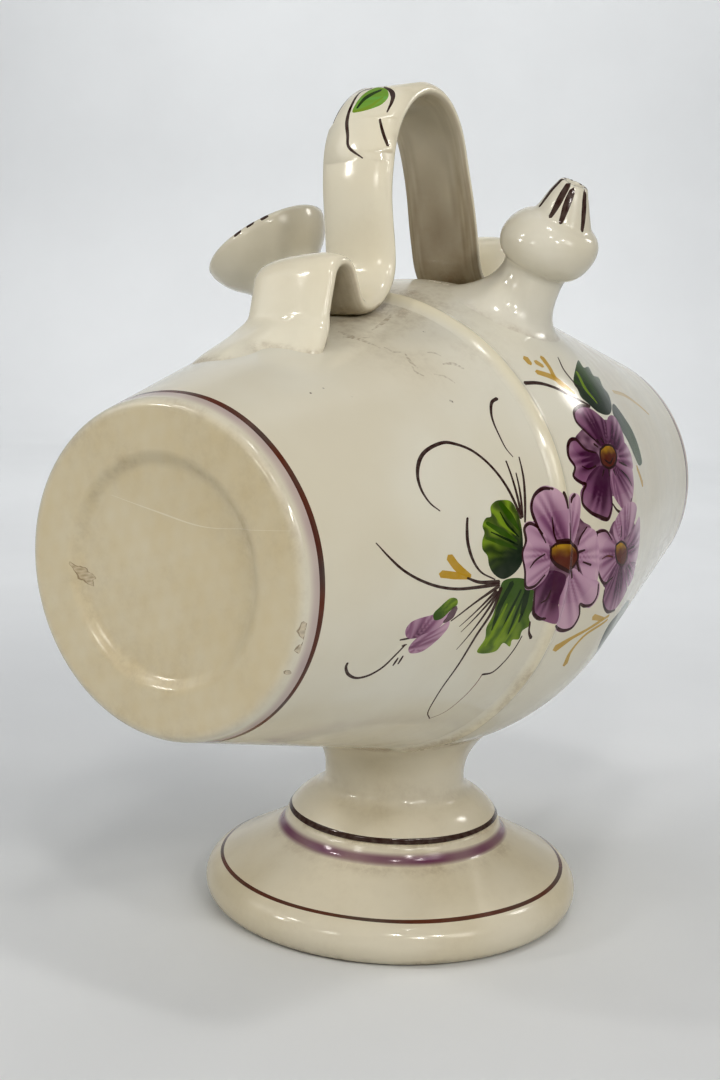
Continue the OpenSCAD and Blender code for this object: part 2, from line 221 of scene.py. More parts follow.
@dataclass(frozen=True)
class PhotoCamera:
    """The photograph's point of view, in millimetres, degrees and pixels."""

    place: Triple = (-520.9, -315.0, 247.6)
    yaw: float = -57.35
    pitch: float = 10.83
    roll: float = 2.27
    focal: float = 1756.18
    width: int = 720
    height: int = 1080
    sensor: float = 36.0
    nearest: float = 0.02
    farthest: float = 20.0

    def axes(self) -> Array:
        """Gives the camera's own directions.

        Returns:
            Three rows: right, up and back.
        """
        a, e, r = (math.radians(v) for v in (self.yaw, self.pitch, self.roll))
        back = np.array([math.sin(a) * math.cos(e), -math.cos(a) * math.cos(e), math.sin(e)])
        right = np.cross(-back, (0.0, 0.0, 1.0))
        right /= np.linalg.norm(right)
        up = np.cross(right, -back)
        tilted = np.array([[math.cos(r), math.sin(r)], [-math.sin(r), math.cos(r)]])
        return np.vstack([tilted @ np.vstack([right, up]), back])

    def rays(self, pixels: Pixels | Array) -> Array:
        """Gives the directions in which pixels of the photograph look.

        Args:
            pixels: Pixels, x and y in turn from the top left corner.

        Returns:
            A unit direction in each row.
        """
        spots = np.asarray(pixels, float).reshape(-1, 2)
        right, up, back = self.axes()
        across = (spots[:, :1] - self.width / 2) / self.focal
        above = (self.height / 2 - spots[:, 1:]) / self.focal
        ways = across * right + above * up - back
        return ways / np.linalg.norm(ways, axis=1, keepdims=True)

    def found(self, skin: Skin, rows: Array, cols: Array, pixels: Pixels) -> Array:
        """Finds where pixels fall on a skin that faces the camera.

        Args:
            skin: The skin that is looked at.
            rows: First coordinates to try.
            cols: Second coordinates to try.
            pixels: Pixels to find.

        Returns:
            The skin's two coordinates for each pixel.
        """
        spots = np.stack(np.meshgrid(rows, cols, indexing="ij"), axis=-1).reshape(-1, 2)
        points = skin.place(spots[:, 0], spots[:, 1])
        way = points - np.array(self.place)
        right, up, back = self.axes()
        scale = self.focal / -(way @ back)
        seen = np.stack(
            [self.width / 2 + scale * (way @ right), self.height / 2 - scale * (way @ up)], axis=1)
        out_of_sight = np.einsum("ij,ij->i", skin.normals(spots), way) > 0
        seen[out_of_sight] += FAR_OFF
        off = np.linalg.norm(seen[None] - np.reshape(pixels, (-1, 1, 2)), axis=2)
        return spots[np.argmin(off, axis=1)]

    def make(self) -> None:
        """Makes the scene's camera."""
        lens = bpy.data.cameras.new("photo_camera")
        lens.sensor_fit = "VERTICAL"
        lens.sensor_height = self.sensor
        lens.lens = self.sensor * self.focal / self.height
        lens.clip_start = self.nearest
        lens.clip_end = self.farthest
        camera = bpy.data.objects.new("photo_camera", lens)
        pose = Matrix([Vector(axis) for axis in self.axes()]).transposed().to_4x4()
        pose.translation = Vector(self.place) * MM
        camera.matrix_world = pose
        bpy.context.scene.collection.objects.link(camera)
        bpy.context.scene.camera = camera


@dataclass(frozen=True)
class BarrelForm:
    """The barrel's outline: two cones with a round middle, lying along X."""

    mid_r: float = 82.0
    end_r: float = 50.0
    half_len: float = 135.0
    axis_z: float = 141.0
    wall: float = 5.0
    end_wall: float = 7.0
    rim_round: float = 3.0
    chart_r: float = 80.0
    back: float = -150.0
    sides: int = 180
    search: tuple[float, float] = (350.0, 900.0)
    search_steps: int = 1101

    @property
    def taper(self) -> float:
        """Slope of the cones, in radians."""
        corner = math.hypot(self.half_len, self.end_r)
        return math.atan2(self.half_len, self.end_r) - math.acos(self.mid_r / corner)

    @property
    def rim_x(self) -> float:
        """Distance from the middle at which the rim's rounding starts."""
        return self.half_len - self.rim_round * (1 - math.sin(self.taper))

    @property
    def cols(self) -> Array:
        """Even distances right round the barrel, from a line at the back."""
        return self.around(np.linspace(self.back, self.back + 360.0, self.sides + 1))

    def around(self, angle: Array | float) -> Array:
        """Gives the distance round the barrel at angles in degrees from the top."""
        return self.chart_r * np.radians(angle)

    def radius(self, x: Array, inset: float = 0.0) -> Array:
        """Gives the barrel's radius.

        Args:
            x: Places along the barrel.
            inset: Depth under the outer surface.

        Returns:
            The radius at each place.
        """
        size = self.mid_r - inset
        away = np.abs(x)
        cone = (size - away * math.sin(self.taper)) / math.cos(self.taper)
        ball = np.sqrt(np.maximum(size**2 - away**2, 0.0))
        return np.where(away < size * math.sin(self.taper), ball, cone)

    def about(self, x: Array | float, reach: Array, around: Array) -> Array:
        """Gives points at a reach from the barrel's axis."""
        turn = around / self.chart_r
        return np.stack([x + 0 * turn, -reach * np.sin(turn), self.axis_z + reach * np.cos(turn)], axis=-1)

    def spot(self, x: Array, around: Array, lift: Array | float = 0.0) -> Array:
        """Gives points on the barrel, or at a height over its surface."""
        return self.about(x, self.radius(x) + lift, around)

    def under(self, x: Array, around: Array) -> Array:
        """Gives points on the hollow's side, under the wall."""
        return self.spot(x, around, self.radius(x, self.wall) - self.radius(x))

    def lift(self, points: Array) -> Array:
        """Gives the height of points over the barrel's surface."""
        return np.hypot(points[:, 1], points[:, 2] - self.axis_z) - self.radius(points[:, 0])

    def struck(self, camera: PhotoCamera, pixels: Pixels | Array) -> Array:
        """Finds where pixels of the photograph fall on the barrel.

        Args:
            camera: The photograph's point of view.
            pixels: Pixels to find.

        Returns:
            Place along and distance round for each pixel.
        """
        ways = camera.rays(pixels)
        far = np.linspace(*self.search, self.search_steps)
        path = np.array(camera.place) + far[None, :, None] * ways[:, None, :]
        off = np.hypot(path[..., 1], path[..., 2] - self.axis_z) - self.radius(path[..., 0])
        each = np.arange(len(ways))
        first = np.where((off < 0).any(axis=1), np.argmax(off < 0, axis=1), np.argmin(off, axis=1))
        before, after = off[each, first - 1], off[each, first]
        share = np.where(after < 0, before / np.maximum(before - after, TINY), 1.0)
        hit = np.array(camera.place) + (far[first - 1] + share * (far[1] - far[0]))[:, None] * ways
        turn = np.arctan2(-hit[:, 1], hit[:, 2] - self.axis_z)
        return np.stack([hit[:, 0], self.chart_r * turn], axis=1)


@dataclass
class Mark:
    """A painted shape on a skin, in the skin's own coordinates."""

    outline: Array
    tint: Tint
    lines: Sequence[Array] = ()
    grain: float = 0.0

    @classmethod
    def all_over(cls, rows: Array, cols: Array, tint: Tint) -> Mark:
        """Makes a mark that covers a whole skin."""
        low, high, left, right = rows[0] - 1, rows[-1] + 1, cols[0] - 1, cols[-1] + 1
        return cls(np.array([(low, left), (high, left), (high, right), (low, right)]), tint)

    def touches(self, near: float, far: float) -> bool:
        """Tells whether the mark reaches between two rows."""
        return self.outline[:, 0].max() > near and self.outline[:, 0].min() < far

    def covers(self, spots: Array) -> Array:
        """Tells which points lie inside the outline.

        Args:
            spots: Points, one in each row.

        Returns:
            True for each point inside.
        """
        a, b = self.outline, np.roll(self.outline, -1, axis=0)
        x, y = spots[:, :1], spots[:, 1:]
        side = (b[:, 0] - a[:, 0]) * (y - a[:, 1]) - (x - a[:, 0]) * (b[:, 1] - a[:, 1])
        climbs = (a[:, 1] <= y) & (b[:, 1] > y) & (side > 0)
        falls = (a[:, 1] > y) & (b[:, 1] <= y) & (side < 0)
        return climbs.sum(axis=1) != falls.sum(axis=1)

    def inner_points(self) -> Array:
        """Gives points inside the outline, close enough to carry its shading.

        Returns:
            Points, one in each row.
        """
        if not self.grain:
            return np.zeros((0, 2))
        sides = zip(self.outline.min(axis=0), self.outline.max(axis=0))
        x, y = (np.arange(low, high, self.grain) for low, high in sides)
        net = np.stack(np.meshgrid(x, y, indexing="ij"), axis=-1)
        net[1::2, :, 1] += self.grain / 2
        net = net.reshape(-1, 2)
        return net[self.covers(net)]


def even_tint(pigment: Pigment, opacity: float, other: Pigment | None = None, pitch: float = 3.0) -> Tint:
    """Makes a wash of one colour, thinner in places.

    Args:
        pigment: Its colour.
        opacity: How much it hides what is under it.
        other: A second colour that it runs into.
        pitch: Rough distance between the thinner places.

    Returns:
        A function from points to red, green, blue and opacity.
    """

    def tint(spots: Array) -> Array:
        """Gives the wash's colours at points.

        Args:
            spots: The points.

        Returns:
            Red, green, blue and opacity in each row.
        """
        wave = 0.5 + 0.5 * ripple(spots, pitch, 1.3)
        colour = pigment.into(other or pigment, wave[:, None])
        return np.column_stack([colour, opacity * (0.88 + 0.12 * wave)])

    return tint


def soft_ring_tint(pigment: Pigment, middle: float, width: float, opacity: float) -> Tint:
    """Makes a soft wash that is strongest along the middle of a ring.

    Args:
        pigment: Its colour.
        middle: First coordinate of the ring's middle.
        width: Width of the ring.
        opacity: Its strength along the middle.

    Returns:
        A function from points to red, green, blue and opacity.
    """

    def tint(spots: Array) -> Array:
        """Gives the wash's colours at points."""
        off = np.abs(spots[:, 0] - middle) / (width / 2)
        return pigment.coat(opacity * rise(1.05, 0.25, off) * (0.85 + 0.15 * ripple(spots, 24.0, 2.0)))

    return tint


def brushed(path: Array, widths: Widths, tint: Tint, mapped: Tint | None = None) -> Mark:
    """Makes the mark of one pull of the brush.

    Args:
        path: Points of its middle line.
        widths: Its width at even steps along that line.
        tint: Its colour.
        mapped: A change of coordinates from the line's to the skin's.

    Returns:
        The mark.
    """
    along = walked(path)
    half = np.interp(along / along[-1], np.linspace(0, 1, len(widths)), widths)[:, None] / 2
    way = np.gradient(path, axis=0)
    way /= np.maximum(np.linalg.norm(way, axis=1, keepdims=True), TINY)
    left = np.stack([-way[:, 1], way[:, 0]], axis=1)
    tail = path[:1] - way[:1] * half[:1] * 0.8
    nose = path[-1:] + way[-1:] * half[-1:] * 0.8
    outline = np.vstack([tail, path - left * half, nose, (path + left * half)[::-1]])
    return Mark(mapped(outline) if mapped else outline, tint)


def ring_mark(
    middle: float, width: float, cols: Array, tint: Tint, soft: int, wander: float, seed: float
) -> Mark:
    """Makes a painted ring that runs right round a skin.

    Args:
        middle: First coordinate of the ring's middle.
        width: Width of the ring.
        cols: Second coordinates, once round.
        tint: Its colour.
        soft: Number of lines inside it that carry its shading.
        wander: How far a turning hand lets it stray.
        seed: Shift that makes its straying its own.

    Returns:
        The mark.
    """
    turn = TURN * (cols - cols[0]) / (cols[-1] - cols[0])
    stray = wander * (np.sin(turn + seed) + 0.6 * np.sin(3 * turn + 2 * seed) + 0.4 * np.sin(7 * turn))
    swell = 1 + 0.12 * np.sin(2 * turn + 3 * seed) + 0.08 * np.sin(5 * turn)

    def lane(share: float) -> Array:
        """Gives a line along the ring, at a share of its half width."""
        return np.stack([middle + stray + share * width / 2 * swell, cols], axis=1)

    lines = [lane(share) for share in np.linspace(-1, 1, soft + 2)[1:-1]]
    return Mark(np.vstack([lane(-1), lane(1)[::-1]]), tint, lines)


@dataclass
class Skin:
    """A rectangular sheet of a piece's surface, with what is painted on it."""

    place: Place
    rows: Array
    cols: Array
    strip: Strip
    turned: bool = False
    marks: Sequence[Mark] = ()
    holes: Sequence[Array] = ()
    grime: Grime | None = None
    probe: tuple[float, float] = (0.2, 0.2)
    favour: Triple | None = None

    def normals(self, spots: Array) -> Array:
        """Gives the directions that the skin faces.

        Args:
            spots: Points in the skin's coordinates.

        Returns:
            A unit direction in each row.
        """
        u, v = spots[:, 0], spots[:, 1]
        facing = self._cross(u, v)
        size = np.linalg.norm(facing, axis=1)
        weak = size < 1e-3 * np.median(size)
        if weak.any():
            middle = (self.rows[0] + self.rows[-1]) / 2
            shift = np.where(u < middle, 1.0, -1.0) * 4 * self.probe[0]
            facing[weak] = self._cross((u + shift)[weak], v[weak])
            size = np.linalg.norm(facing, axis=1)
        facing /= np.maximum(size, 1e-12)[:, None]
        return -facing if self.turned else facing

    def _cross(self, u: Array, v: Array) -> Array:
        """Gives the cross product of the skin's slopes at points.

        Args:
            u: Their first coordinates.
            v: Their second coordinates.

        Returns:
            A vector in each row.
        """
        du, dv = self.probe
        along = self.place(u + du, v) - self.place(u - du, v)
        return np.cross(along, self.place(u, v + dv) - self.place(u, v - dv))

    def woven(self) -> tuple[Array, Array]:
        """Divides the skin into triangles that follow the edges of what is painted on it.

        Returns:
            Points in the skin's coordinates, and three of their numbers for each triangle.
        """
        grid = np.stack(np.meshgrid(self.rows, self.cols, indexing="ij"), axis=-1)
        high, wide = grid.shape[:2]
        spots = grid.reshape(-1, 2)
        if not self.marks and not self.holes:
            net = np.arange(high * wide).reshape(high, wide)
            a, b, c, d = net[:-1, :-1], net[1:, :-1], net[1:, 1:], net[:-1, 1:]
            return spots, np.stack([a, b, c, a, c, d], axis=-1).reshape(-1, 3)
        lines = [np.vstack([hole, hole[:1]]) for hole in self.holes]
        for mark in self.marks:
            for line in (np.vstack([mark.outline, mark.outline[:1]]), *mark.lines):
                lines.extend(self._trimmed(line))
        inner = [mark.inner_points() for mark in self.marks]
        inner = np.vstack([points[self._inside(points, EDGE_MARGIN)] for points in inner] or [spots[:0]])
        edge = np.zeros((high, wide), bool)
        edge[[0, -1], :] = True
        edge[:, [0, -1]] = True
        keep = edge.ravel() | ~self._crowded(spots, np.vstack([*lines, inner]))
        start = int(keep.sum())
        bonds = []
        for line in lines:
            bonds.extend((start + i, start + i + 1) for i in range(len(line) - 1))
            start += len(line)
        flat = [Vector(p) for p in np.vstack([spots[keep], *lines, inner])]
        found = delaunay_2d_cdt(flat, bonds, [], 0, NET_GAP, False)
        spots = np.array([(p[0], p[1]) for p in found[0]])
        faces = np.array([f for f in found[2] if len(f) == 3])
        for hole in self.holes:
            faces = faces[~Mark(hole, np.zeros_like).covers(spots[faces].mean(axis=1))]
        return spots, faces

    def _inside(self, spots: Array, margin: float) -> Array:
        """Tells which points lie on the skin, off its first and last rows and a margin from its sides.

        Args:
            spots: The points.
            margin: The margin.

        Returns:
            True for each point inside.
        """
        u, v = spots[:, 0], spots[:, 1]
        along = (u > self.rows[0] + EDGE_MARGIN) & (u < self.rows[-1] - EDGE_MARGIN)
        return along & (v >= self.cols[0] + margin) & (v <= self.cols[-1] - margin)

    def _trimmed(self, line: Array) -> list[Array]:
        """Cuts a line to the stretches of two or more points that lie on the skin.

        Args:
            line: Points of the line.

        Returns:
            The stretches.
        """
        inside = self._inside(line, -TINY)
        cuts = np.flatnonzero(np.diff(inside.astype(int))) + 1
        runs = np.split(np.arange(len(line)), cuts)
        return [line[run] for run in runs if inside[run[0]] and len(run) > 1]

    @staticmethod
    def _crowded(spots: Array, fine: Array) -> Array:
        """Tells which points of the net lie so close to finer ones that they aren't needed.

        Args:
            spots: Points of the net.
            fine: The finer points.

        Returns:
            True for each point that isn't needed.
        """
        taken = {(int(a), int(b)) for a, b in np.floor(fine / CROWD_CELL)}
        near = [(da, db) for da in (-1, 0, 1) for db in (-1, 0, 1)]
        homes = np.floor(spots / CROWD_CELL).astype(int)
        return np.array([any((a + da, b + db) in taken for da, db in near) for a, b in homes])

    def coloured(self, spots: Array, faces: Array) -> Array:
        """Lays the marks over each other.

        Args:
            spots: Points in the skin's coordinates.
            faces: Three of their numbers for each triangle.

        Returns:
            Red, green, blue and opacity for each corner of each triangle.
        """
        corners = spots[faces]
        middles = corners.mean(axis=1)
        paint = np.zeros((len(faces), 3, 4))
        for mark in self.marks:
            low, high = mark.outline.min(axis=0), mark.outline.max(axis=0)
            close = np.flatnonzero(((middles >= low) & (middles <= high)).all(axis=1))
            hit = close[mark.covers(middles[close])]
            if not len(hit):
                continue
            coat = mark.tint(corners[hit].reshape(-1, 2)).reshape(-1, 3, 4)
            over = coat[..., 3:]
            under = paint[hit, :, 3:] * (1 - over)
            total = over + under
            mixed = (coat[..., :3] * over + paint[hit, :, :3] * under) / np.maximum(total, 1e-6)
            paint[hit] = np.concatenate([mixed, total], axis=2)
        return paint

    def flat(self, spots: Array) -> Array:
        """Lays the skin out on its strip of the piece's map.

        Args:
            spots: Points in the skin's coordinates.

        Returns:
            Map coordinates, one pair in each row.
        """
        u = (spots[:, 0] - self.rows[0]) / (self.rows[-1] - self.rows[0])
        start, end = self.cols[0], self.cols[-1]
        v = (spots[:, 1] - start) / (end - start)
        if self.favour:
            low, high, share = self.favour
            rest = (1 - share) / ((low - start) + (end - high))
            stops = [0.0, rest * (low - start), rest * (low - start) + share, 1.0]
            v = np.interp(spots[:, 1], [start, low, high, end], stops)
        return np.stack([v, between(*self.strip, u)], axis=1)


def border(faces: Array) -> Array:
    """Gives the numbers of the points on the open border of a net.

    Args:
        faces: Three point numbers for each triangle.

    Returns:
        Numbers of the border's points.
    """
    ends = np.sort(np.vstack([faces[:, [0, 1]], faces[:, [1, 2]], faces[:, [2, 0]]]), axis=1)
    edges, uses = np.unique(ends, axis=0, return_counts=True)
    return np.unique(edges[uses == 1])


def welded(places: Array, rims: Array) -> Array:
    """Joins the border points that lie at one place.

    Args:
        places: All points in millimetres.
        rims: Numbers of the border points.

    Returns:
        For each point, the number of the point that stands for it.
    """
    tree = KDTree(len(rims))
    for number in rims:
        tree.insert(places[number], int(number))
    tree.balance()
    stand = np.arange(len(places))
    for number in rims:
        stand[number] = min(other for _, other, _ in tree.find_range(places[number], WELD_GAP))
    while (stand[stand] != stand).any():
        stand = stand[stand]
    return stand


def sewn(name: str, skins: Sequence[Skin], finish: bpy.types.Material) -> Piece:
    """Joins skins into one closed piece.

    Args:
        name: Name of the piece.
        skins: Its skins, which share their borders.
        finish: Its material.

    Returns:
        The piece, linked to the scene.
    """
    points, normals, maps, paints, dirt, corners, rims = [], [], [], [], [], [], []
    start = 0
    for skin in skins:
        spots, faces = skin.woven()
        places = skin.place(spots[:, 0], spots[:, 1])
        grime = skin.grime(places) if skin.grime else np.zeros(len(spots))
        paint = skin.coloured(spots, faces)
        order = faces[:, ::-1] if skin.turned else faces
        points.append(places)
        corners.append(order + start)
        rims.append(border(faces) + start)
        normals.append(skin.normals(spots)[order])
        maps.append(skin.flat(spots)[order])
        dirt.append(grime[order])
        paints.append(paint[:, ::-1] if skin.turned else paint)
        start += len(spots)
    places = np.vstack(points)
    faces = welded(places, np.concatenate(rims))[np.vstack(corners)]
    whole = (faces[:, 0] != faces[:, 1]) & (faces[:, 1] != faces[:, 2]) & (faces[:, 2] != faces[:, 0])
    keep, faces = np.unique(faces[whole], return_inverse=True)
    mesh = bpy.data.meshes.new(name)
    mesh.from_pydata((places[keep] * MM).tolist(), [], faces.reshape(-1, 3).tolist())

    def fill(layer: bpy.types.Attribute, key: str, values: list[Array]) -> None:
        """Gives a layer of the mesh its values at the corners."""
        layer.data.foreach_set(key, np.vstack(values)[whole].astype(np.float32).ravel())

    fill(mesh.uv_layers.new(name="OFBake"), "uv", maps)
    fill(mesh.attributes.new("paint", "FLOAT_COLOR", "CORNER"), "color", paints)
    # The grime layer holds dirt, and the painted shade of the strap's inner face.
    fill(mesh.attributes.new("grime", "FLOAT", "CORNER"), "value", dirt)
    mesh.materials.append(finish)
    mesh.shade_smooth()
    mesh.normals_split_custom_set(np.vstack(normals)[whole].reshape(-1, 3).tolist())
    piece = bpy.data.objects.new(name, mesh)
    bpy.context.scene.collection.objects.link(piece)
    return piece


@dataclass
class ClayPiece:
    """A piece of the jug, made of skins."""

    form: BarrelForm
    camera: PhotoCamera
    slot: Slot = Slot.BODY

    def skins(self) -> list[Skin]:
        """Gives the piece's skins, which share their borders."""
        raise NotImplementedError

    def build(self, name: str, finish: bpy.types.Material) -> Piece:
        """Makes the piece."""
        return sewn(name, self.skins(), finish)

    def dress(self, piece: Piece, node: str) -> None:
        """Ties the piece to the frame and hides the solid that it replaces.

        Args:
            piece: The piece.
            node: The solid of the frame that it replaces.
        """
        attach(piece, "root")
        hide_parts(node)


class Bench:
    """A material's nodes while they are being wired."""

    def __init__(self, name: str) -> None:
        """Starts a material with its output and its surface shader.

        Args:
            name: Name of the material.
        """
        self.material = bpy.data.materials.new(name)
        self.material.use_nodes = True
        self.tree = self.material.node_tree
        self.tree.nodes.clear()
        self.surface = self.add("ShaderNodeBsdfPrincipled")
        output = self.add("ShaderNodeOutputMaterial")
        self.tree.links.new(self.surface.outputs["BSDF"], output.inputs["Surface"])
        self.where = self.add("ShaderNodeTexCoord").outputs["Object"]

    def add(self, kind: str, **values: object) -> bpy.types.Node:
        """Adds a node.

        Args:
            kind: Blender's name for the kind of node.
            values: Properties of the node.

        Returns:
            The node.
        """
        node = self.tree.nodes.new(kind)
        for key, value in values.items():
            setattr(node, key, value)
        return node

    def wire(self, node: bpy.types.Node, sources: dict[str | int, object]) -> None:
        """Sets a node's sockets.

        Args:
            node: The node.
            sources: An output or a plain value for each socket, by its name or number.
        """
        for key, source in sources.items():
            if isinstance(source, Socket):
                self.tree.links.new(source, node.inputs[key])
            else:
                node.inputs[key].default_value = source

    def noise(self, scale: float, detail: float = 3.0, rough: float = 0.5) -> Socket:
        """Adds cloudy noise from 0 to 1.

        Args:
            scale: Clouds in a metre.
            detail: Number of finer layers.
            rough: Strength of the finer layers.

        Returns:
            The noise.
        """
        node = self.add("ShaderNodeTexNoise")
        self.wire(node, {"Vector": self.where, "Scale": scale, "Detail": detail, "Roughness": rough})
        return node.outputs["Fac"]

    def fit(self, source: Socket, low: float, high: float, start: float = 0.0, end: float = 1.0) -> Socket:
        """Maps a number smoothly from one range to another.

        Args:
            source: The number.
            low: Where its range starts.
            high: Where its range ends.
            start: Result at the start.
            end: Result at the end.

        Returns:
            The result.
        """
        node = self.add("ShaderNodeMapRange", interpolation_type="SMOOTHSTEP")
        self.wire(node, dict(enumerate((source, low, high, start, end))))
        return node.outputs["Result"]

    def sum(self, kind: str, *parts: object) -> Socket:
        """Adds a sum.

        Args:
            kind: Blender's name for the operation.
            parts: Numbers or outputs.

        Returns:
            The result.
        """
        node = self.add("ShaderNodeMath", operation=kind)
        self.wire(node, dict(enumerate(parts)))
        return node.outputs["Value"]

    def mix(self, share: Socket, first: Socket | Triple, second: Socket | Triple) -> Socket:
        """Mixes two colours.

        Args:
            share: Share of the second.
            first: The first colour.
            second: The second colour.

        Returns:
            The mixture.
        """
        node = self.add("ShaderNodeMix", data_type="RGBA")
        first, second = ((*c, 1.0) if isinstance(c, tuple) else c for c in (first, second))
        self.wire(node, {0: share, 6: first, 7: second})
        return node.outputs[2]


@dataclass(frozen=True)
class Glaze:
    """A tin glaze over clay, with painted marks, dirt and some painted shade, specks and a slight
    unevenness.
    """

    name: str
    pale: Triple = (0.750, 0.720, 0.615)
    warm: Triple = (0.705, 0.655, 0.525)
    soil_and_shade: Triple = (0.200, 0.115, 0.050)
    iron: Triple = (0.10, 0.065, 0.045)
    gloss: float = 0.12
    dull_dirt: float = 0.45
    bend: float = 1.42
    relief: float = 0.35
    bump_height: float = 0.0006
    cloud_scale: float = 14.0
    grain_scale: float = 160.0
    wave_scale: float = 55.0
    pit_scale: float = 420.0
    speck_scale: float = 150.0
    smear_scale: float = 55.0
    dust_scale: float = 340.0

    def made(self) -> bpy.types.Material:
        """Wires the glaze.

        Returns:
            The material.
        """
        bench = Bench(self.name)
        grain = bench.noise(self.grain_scale, 2.0, 0.6)
        paint = bench.add("ShaderNodeAttribute", attribute_name="paint")
        dirt = self._dirt_and_shade(bench)
        body = bench.mix(bench.fit(bench.noise(self.cloud_scale), 0.35, 0.68), self.pale, self.warm)
        thin = bench.fit(grain, 0.25, 0.75, 0.97)
        body = bench.mix(bench.sum("MULTIPLY", paint.outputs["Alpha"], thin), body, paint.outputs["Color"])
        body = bench.mix(self._specks(bench), body, self.iron)
        # Browns the colour by the grime layer: dirt, and painted shade on the strap's inner face.
        body = bench.mix(dirt, body, self.soil_and_shade)
        clean = bench.fit(grain, 0.2, 0.8, self.gloss - 0.03, self.gloss + 0.05)
        rough = bench.sum("MULTIPLY_ADD", dirt, self.dull_dirt, clean)
        height = bench.noise(self.wave_scale, 2.0)
        pits = bench.noise(self.pit_scale, 2.0)
        for layer, share in ((pits, 0.06), (paint.outputs["Alpha"], 0.05), (dirt, 0.08)):
            height = bench.sum("MULTIPLY_ADD", layer, share, height)
        bump = bench.add("ShaderNodeBump")
        bench.wire(bump, {"Strength": self.relief, "Distance": self.bump_height, "Height": height})
        bench.wire(bench.surface, {
            "Base Color": body, "Roughness": rough, "IOR": self.bend, "Normal": bump.outputs["Normal"]})
        return bench.material

    def _specks(self, bench: Bench) -> Socket:
        """Wires the rare dark specks of iron in the glaze.

        Args:
            bench: The material's nodes.

        Returns:
            Strength of the specks.
        """
        cells = bench.add("ShaderNodeTexVoronoi")
        bench.wire(cells, {"Vector": bench.where, "Scale": self.speck_scale})
        few = bench.fit(cells.outputs["Color"], 0.90, 0.93)
        return bench.sum("MULTIPLY", few, bench.fit(cells.outputs["Distance"], 0.035, 0.075, 0.75, 0.0))

    def _dirt_and_shade(self, bench: Bench) -> Socket:
        """Wires the dirt that lies where the mesh says it gathers, with the painted shade that the mesh
        gives the strap's inner face.

        Args:
            bench: The material's nodes.

        Returns:
            Strength of the dirt and painted shade.
        """
        grime = bench.add("ShaderNodeAttribute", attribute_name="grime").outputs["Fac"]
        patchy = bench.fit(bench.noise(self.smear_scale, 4.0, 0.7), 0.36, 0.70, 0.10)
        fine = bench.fit(bench.noise(self.dust_scale, 5.0, 0.75), 0.34, 0.66, 0.25)
        film = bench.sum("MULTIPLY", grime, bench.sum("MULTIPLY", patchy, fine))
        return bench.sum("MAXIMUM", film, bench.fit(grime, 0.70, 1.0, 0.0, 0.45))


@dataclass(frozen=True)
class Paper:
    """The plain matt sheet that the jug stands on."""

    name: str = "pale_paper"
    colour: Triple = (0.79, 0.80, 0.80)
    shade: float = 0.95
    roughness: float = 0.75
    shine: float = 0.3

    def made(self) -> bpy.types.Material:
        """Wires the sheet.

        Returns:
            The material.
        """
        bench = Bench(self.name)
        low = tuple(self.shade * c for c in self.colour)
        body = bench.mix(bench.fit(bench.noise(6.0, 4.0), 0.2, 0.8), low, self.colour)
        bench.wire(bench.surface, {
            "Base Color": body, "Roughness": self.roughness, "Specular IOR Level": self.shine})
        return bench.material


@dataclass(frozen=True)
class Profile:
    """A line that is turned about an axis, as radius and height."""

    points: Array

    @classmethod
    def joined(cls, *runs: Array | Sequence[Sequence[float]]) -> Profile:
        """Joins stretches end to end, without their double points."""
        line = np.vstack([np.asarray(run, float) for run in runs])
        return cls(line[np.concatenate([[True], np.linalg.norm(np.diff(line, axis=0), axis=1) > 1e-6])])

    @property
    def marks(self) -> Array:
        """Distance along the line to each of its points."""
        return walked(self.points)

    def at(self, u: Array) -> tuple[Array, Array]:
        """Gives radius and height at distances along the line."""
        marks = self.marks
        return np.interp(u, marks, self.points[:, 0]), np.interp(u, marks, self.points[:, 1])

    def rows(self, gap: float) -> Array:
        """Gives even distances along the line."""
        length = self.marks[-1]
        return np.linspace(0.0, length, max(2, math.ceil(length / gap) + 1))

    def where(self, test: Callable[[Array], Array]) -> float:
        """Gives the first distance at which a test of the points holds."""
        return float(self.marks[np.argmax(test(self.points))])


@dataclass(frozen=True)
class Petal:
    """A petal's outline in photo pixels, and how dark its heart is washed."""

    outline: Pixels
    wash: float


@dataclass(frozen=True)
class Pull:
    """One pull of the brush: its line in photo pixels and its widths in millimetres."""

    knots: Pixels
    widths: Widths
    pigment: Pigment = Pigment.BROWN
    opacity: float = 1.0


@dataclass(frozen=True)
class Leaf:
    """A leaf's outline, root and tip in photo pixels, and its strokes."""

    outline: Pixels
    root: tuple[float, float]
    tip: tuple[float, float]
    dark: Pigment = Pigment.PINE
    light: Pigment = Pigment.LEAF
    streaks: tuple[Pull, ...] = ()


@dataclass(frozen=True)
class Flower:
    """A flower in photo pixels: its heart, petals, eye and outlines, and its reach in millimetres."""

    heart: tuple[float, float]
    petals: tuple[Petal, ...]
    eye: Pixels
    lines: tuple[Pull, ...] = ()
    reach: float = 29.0


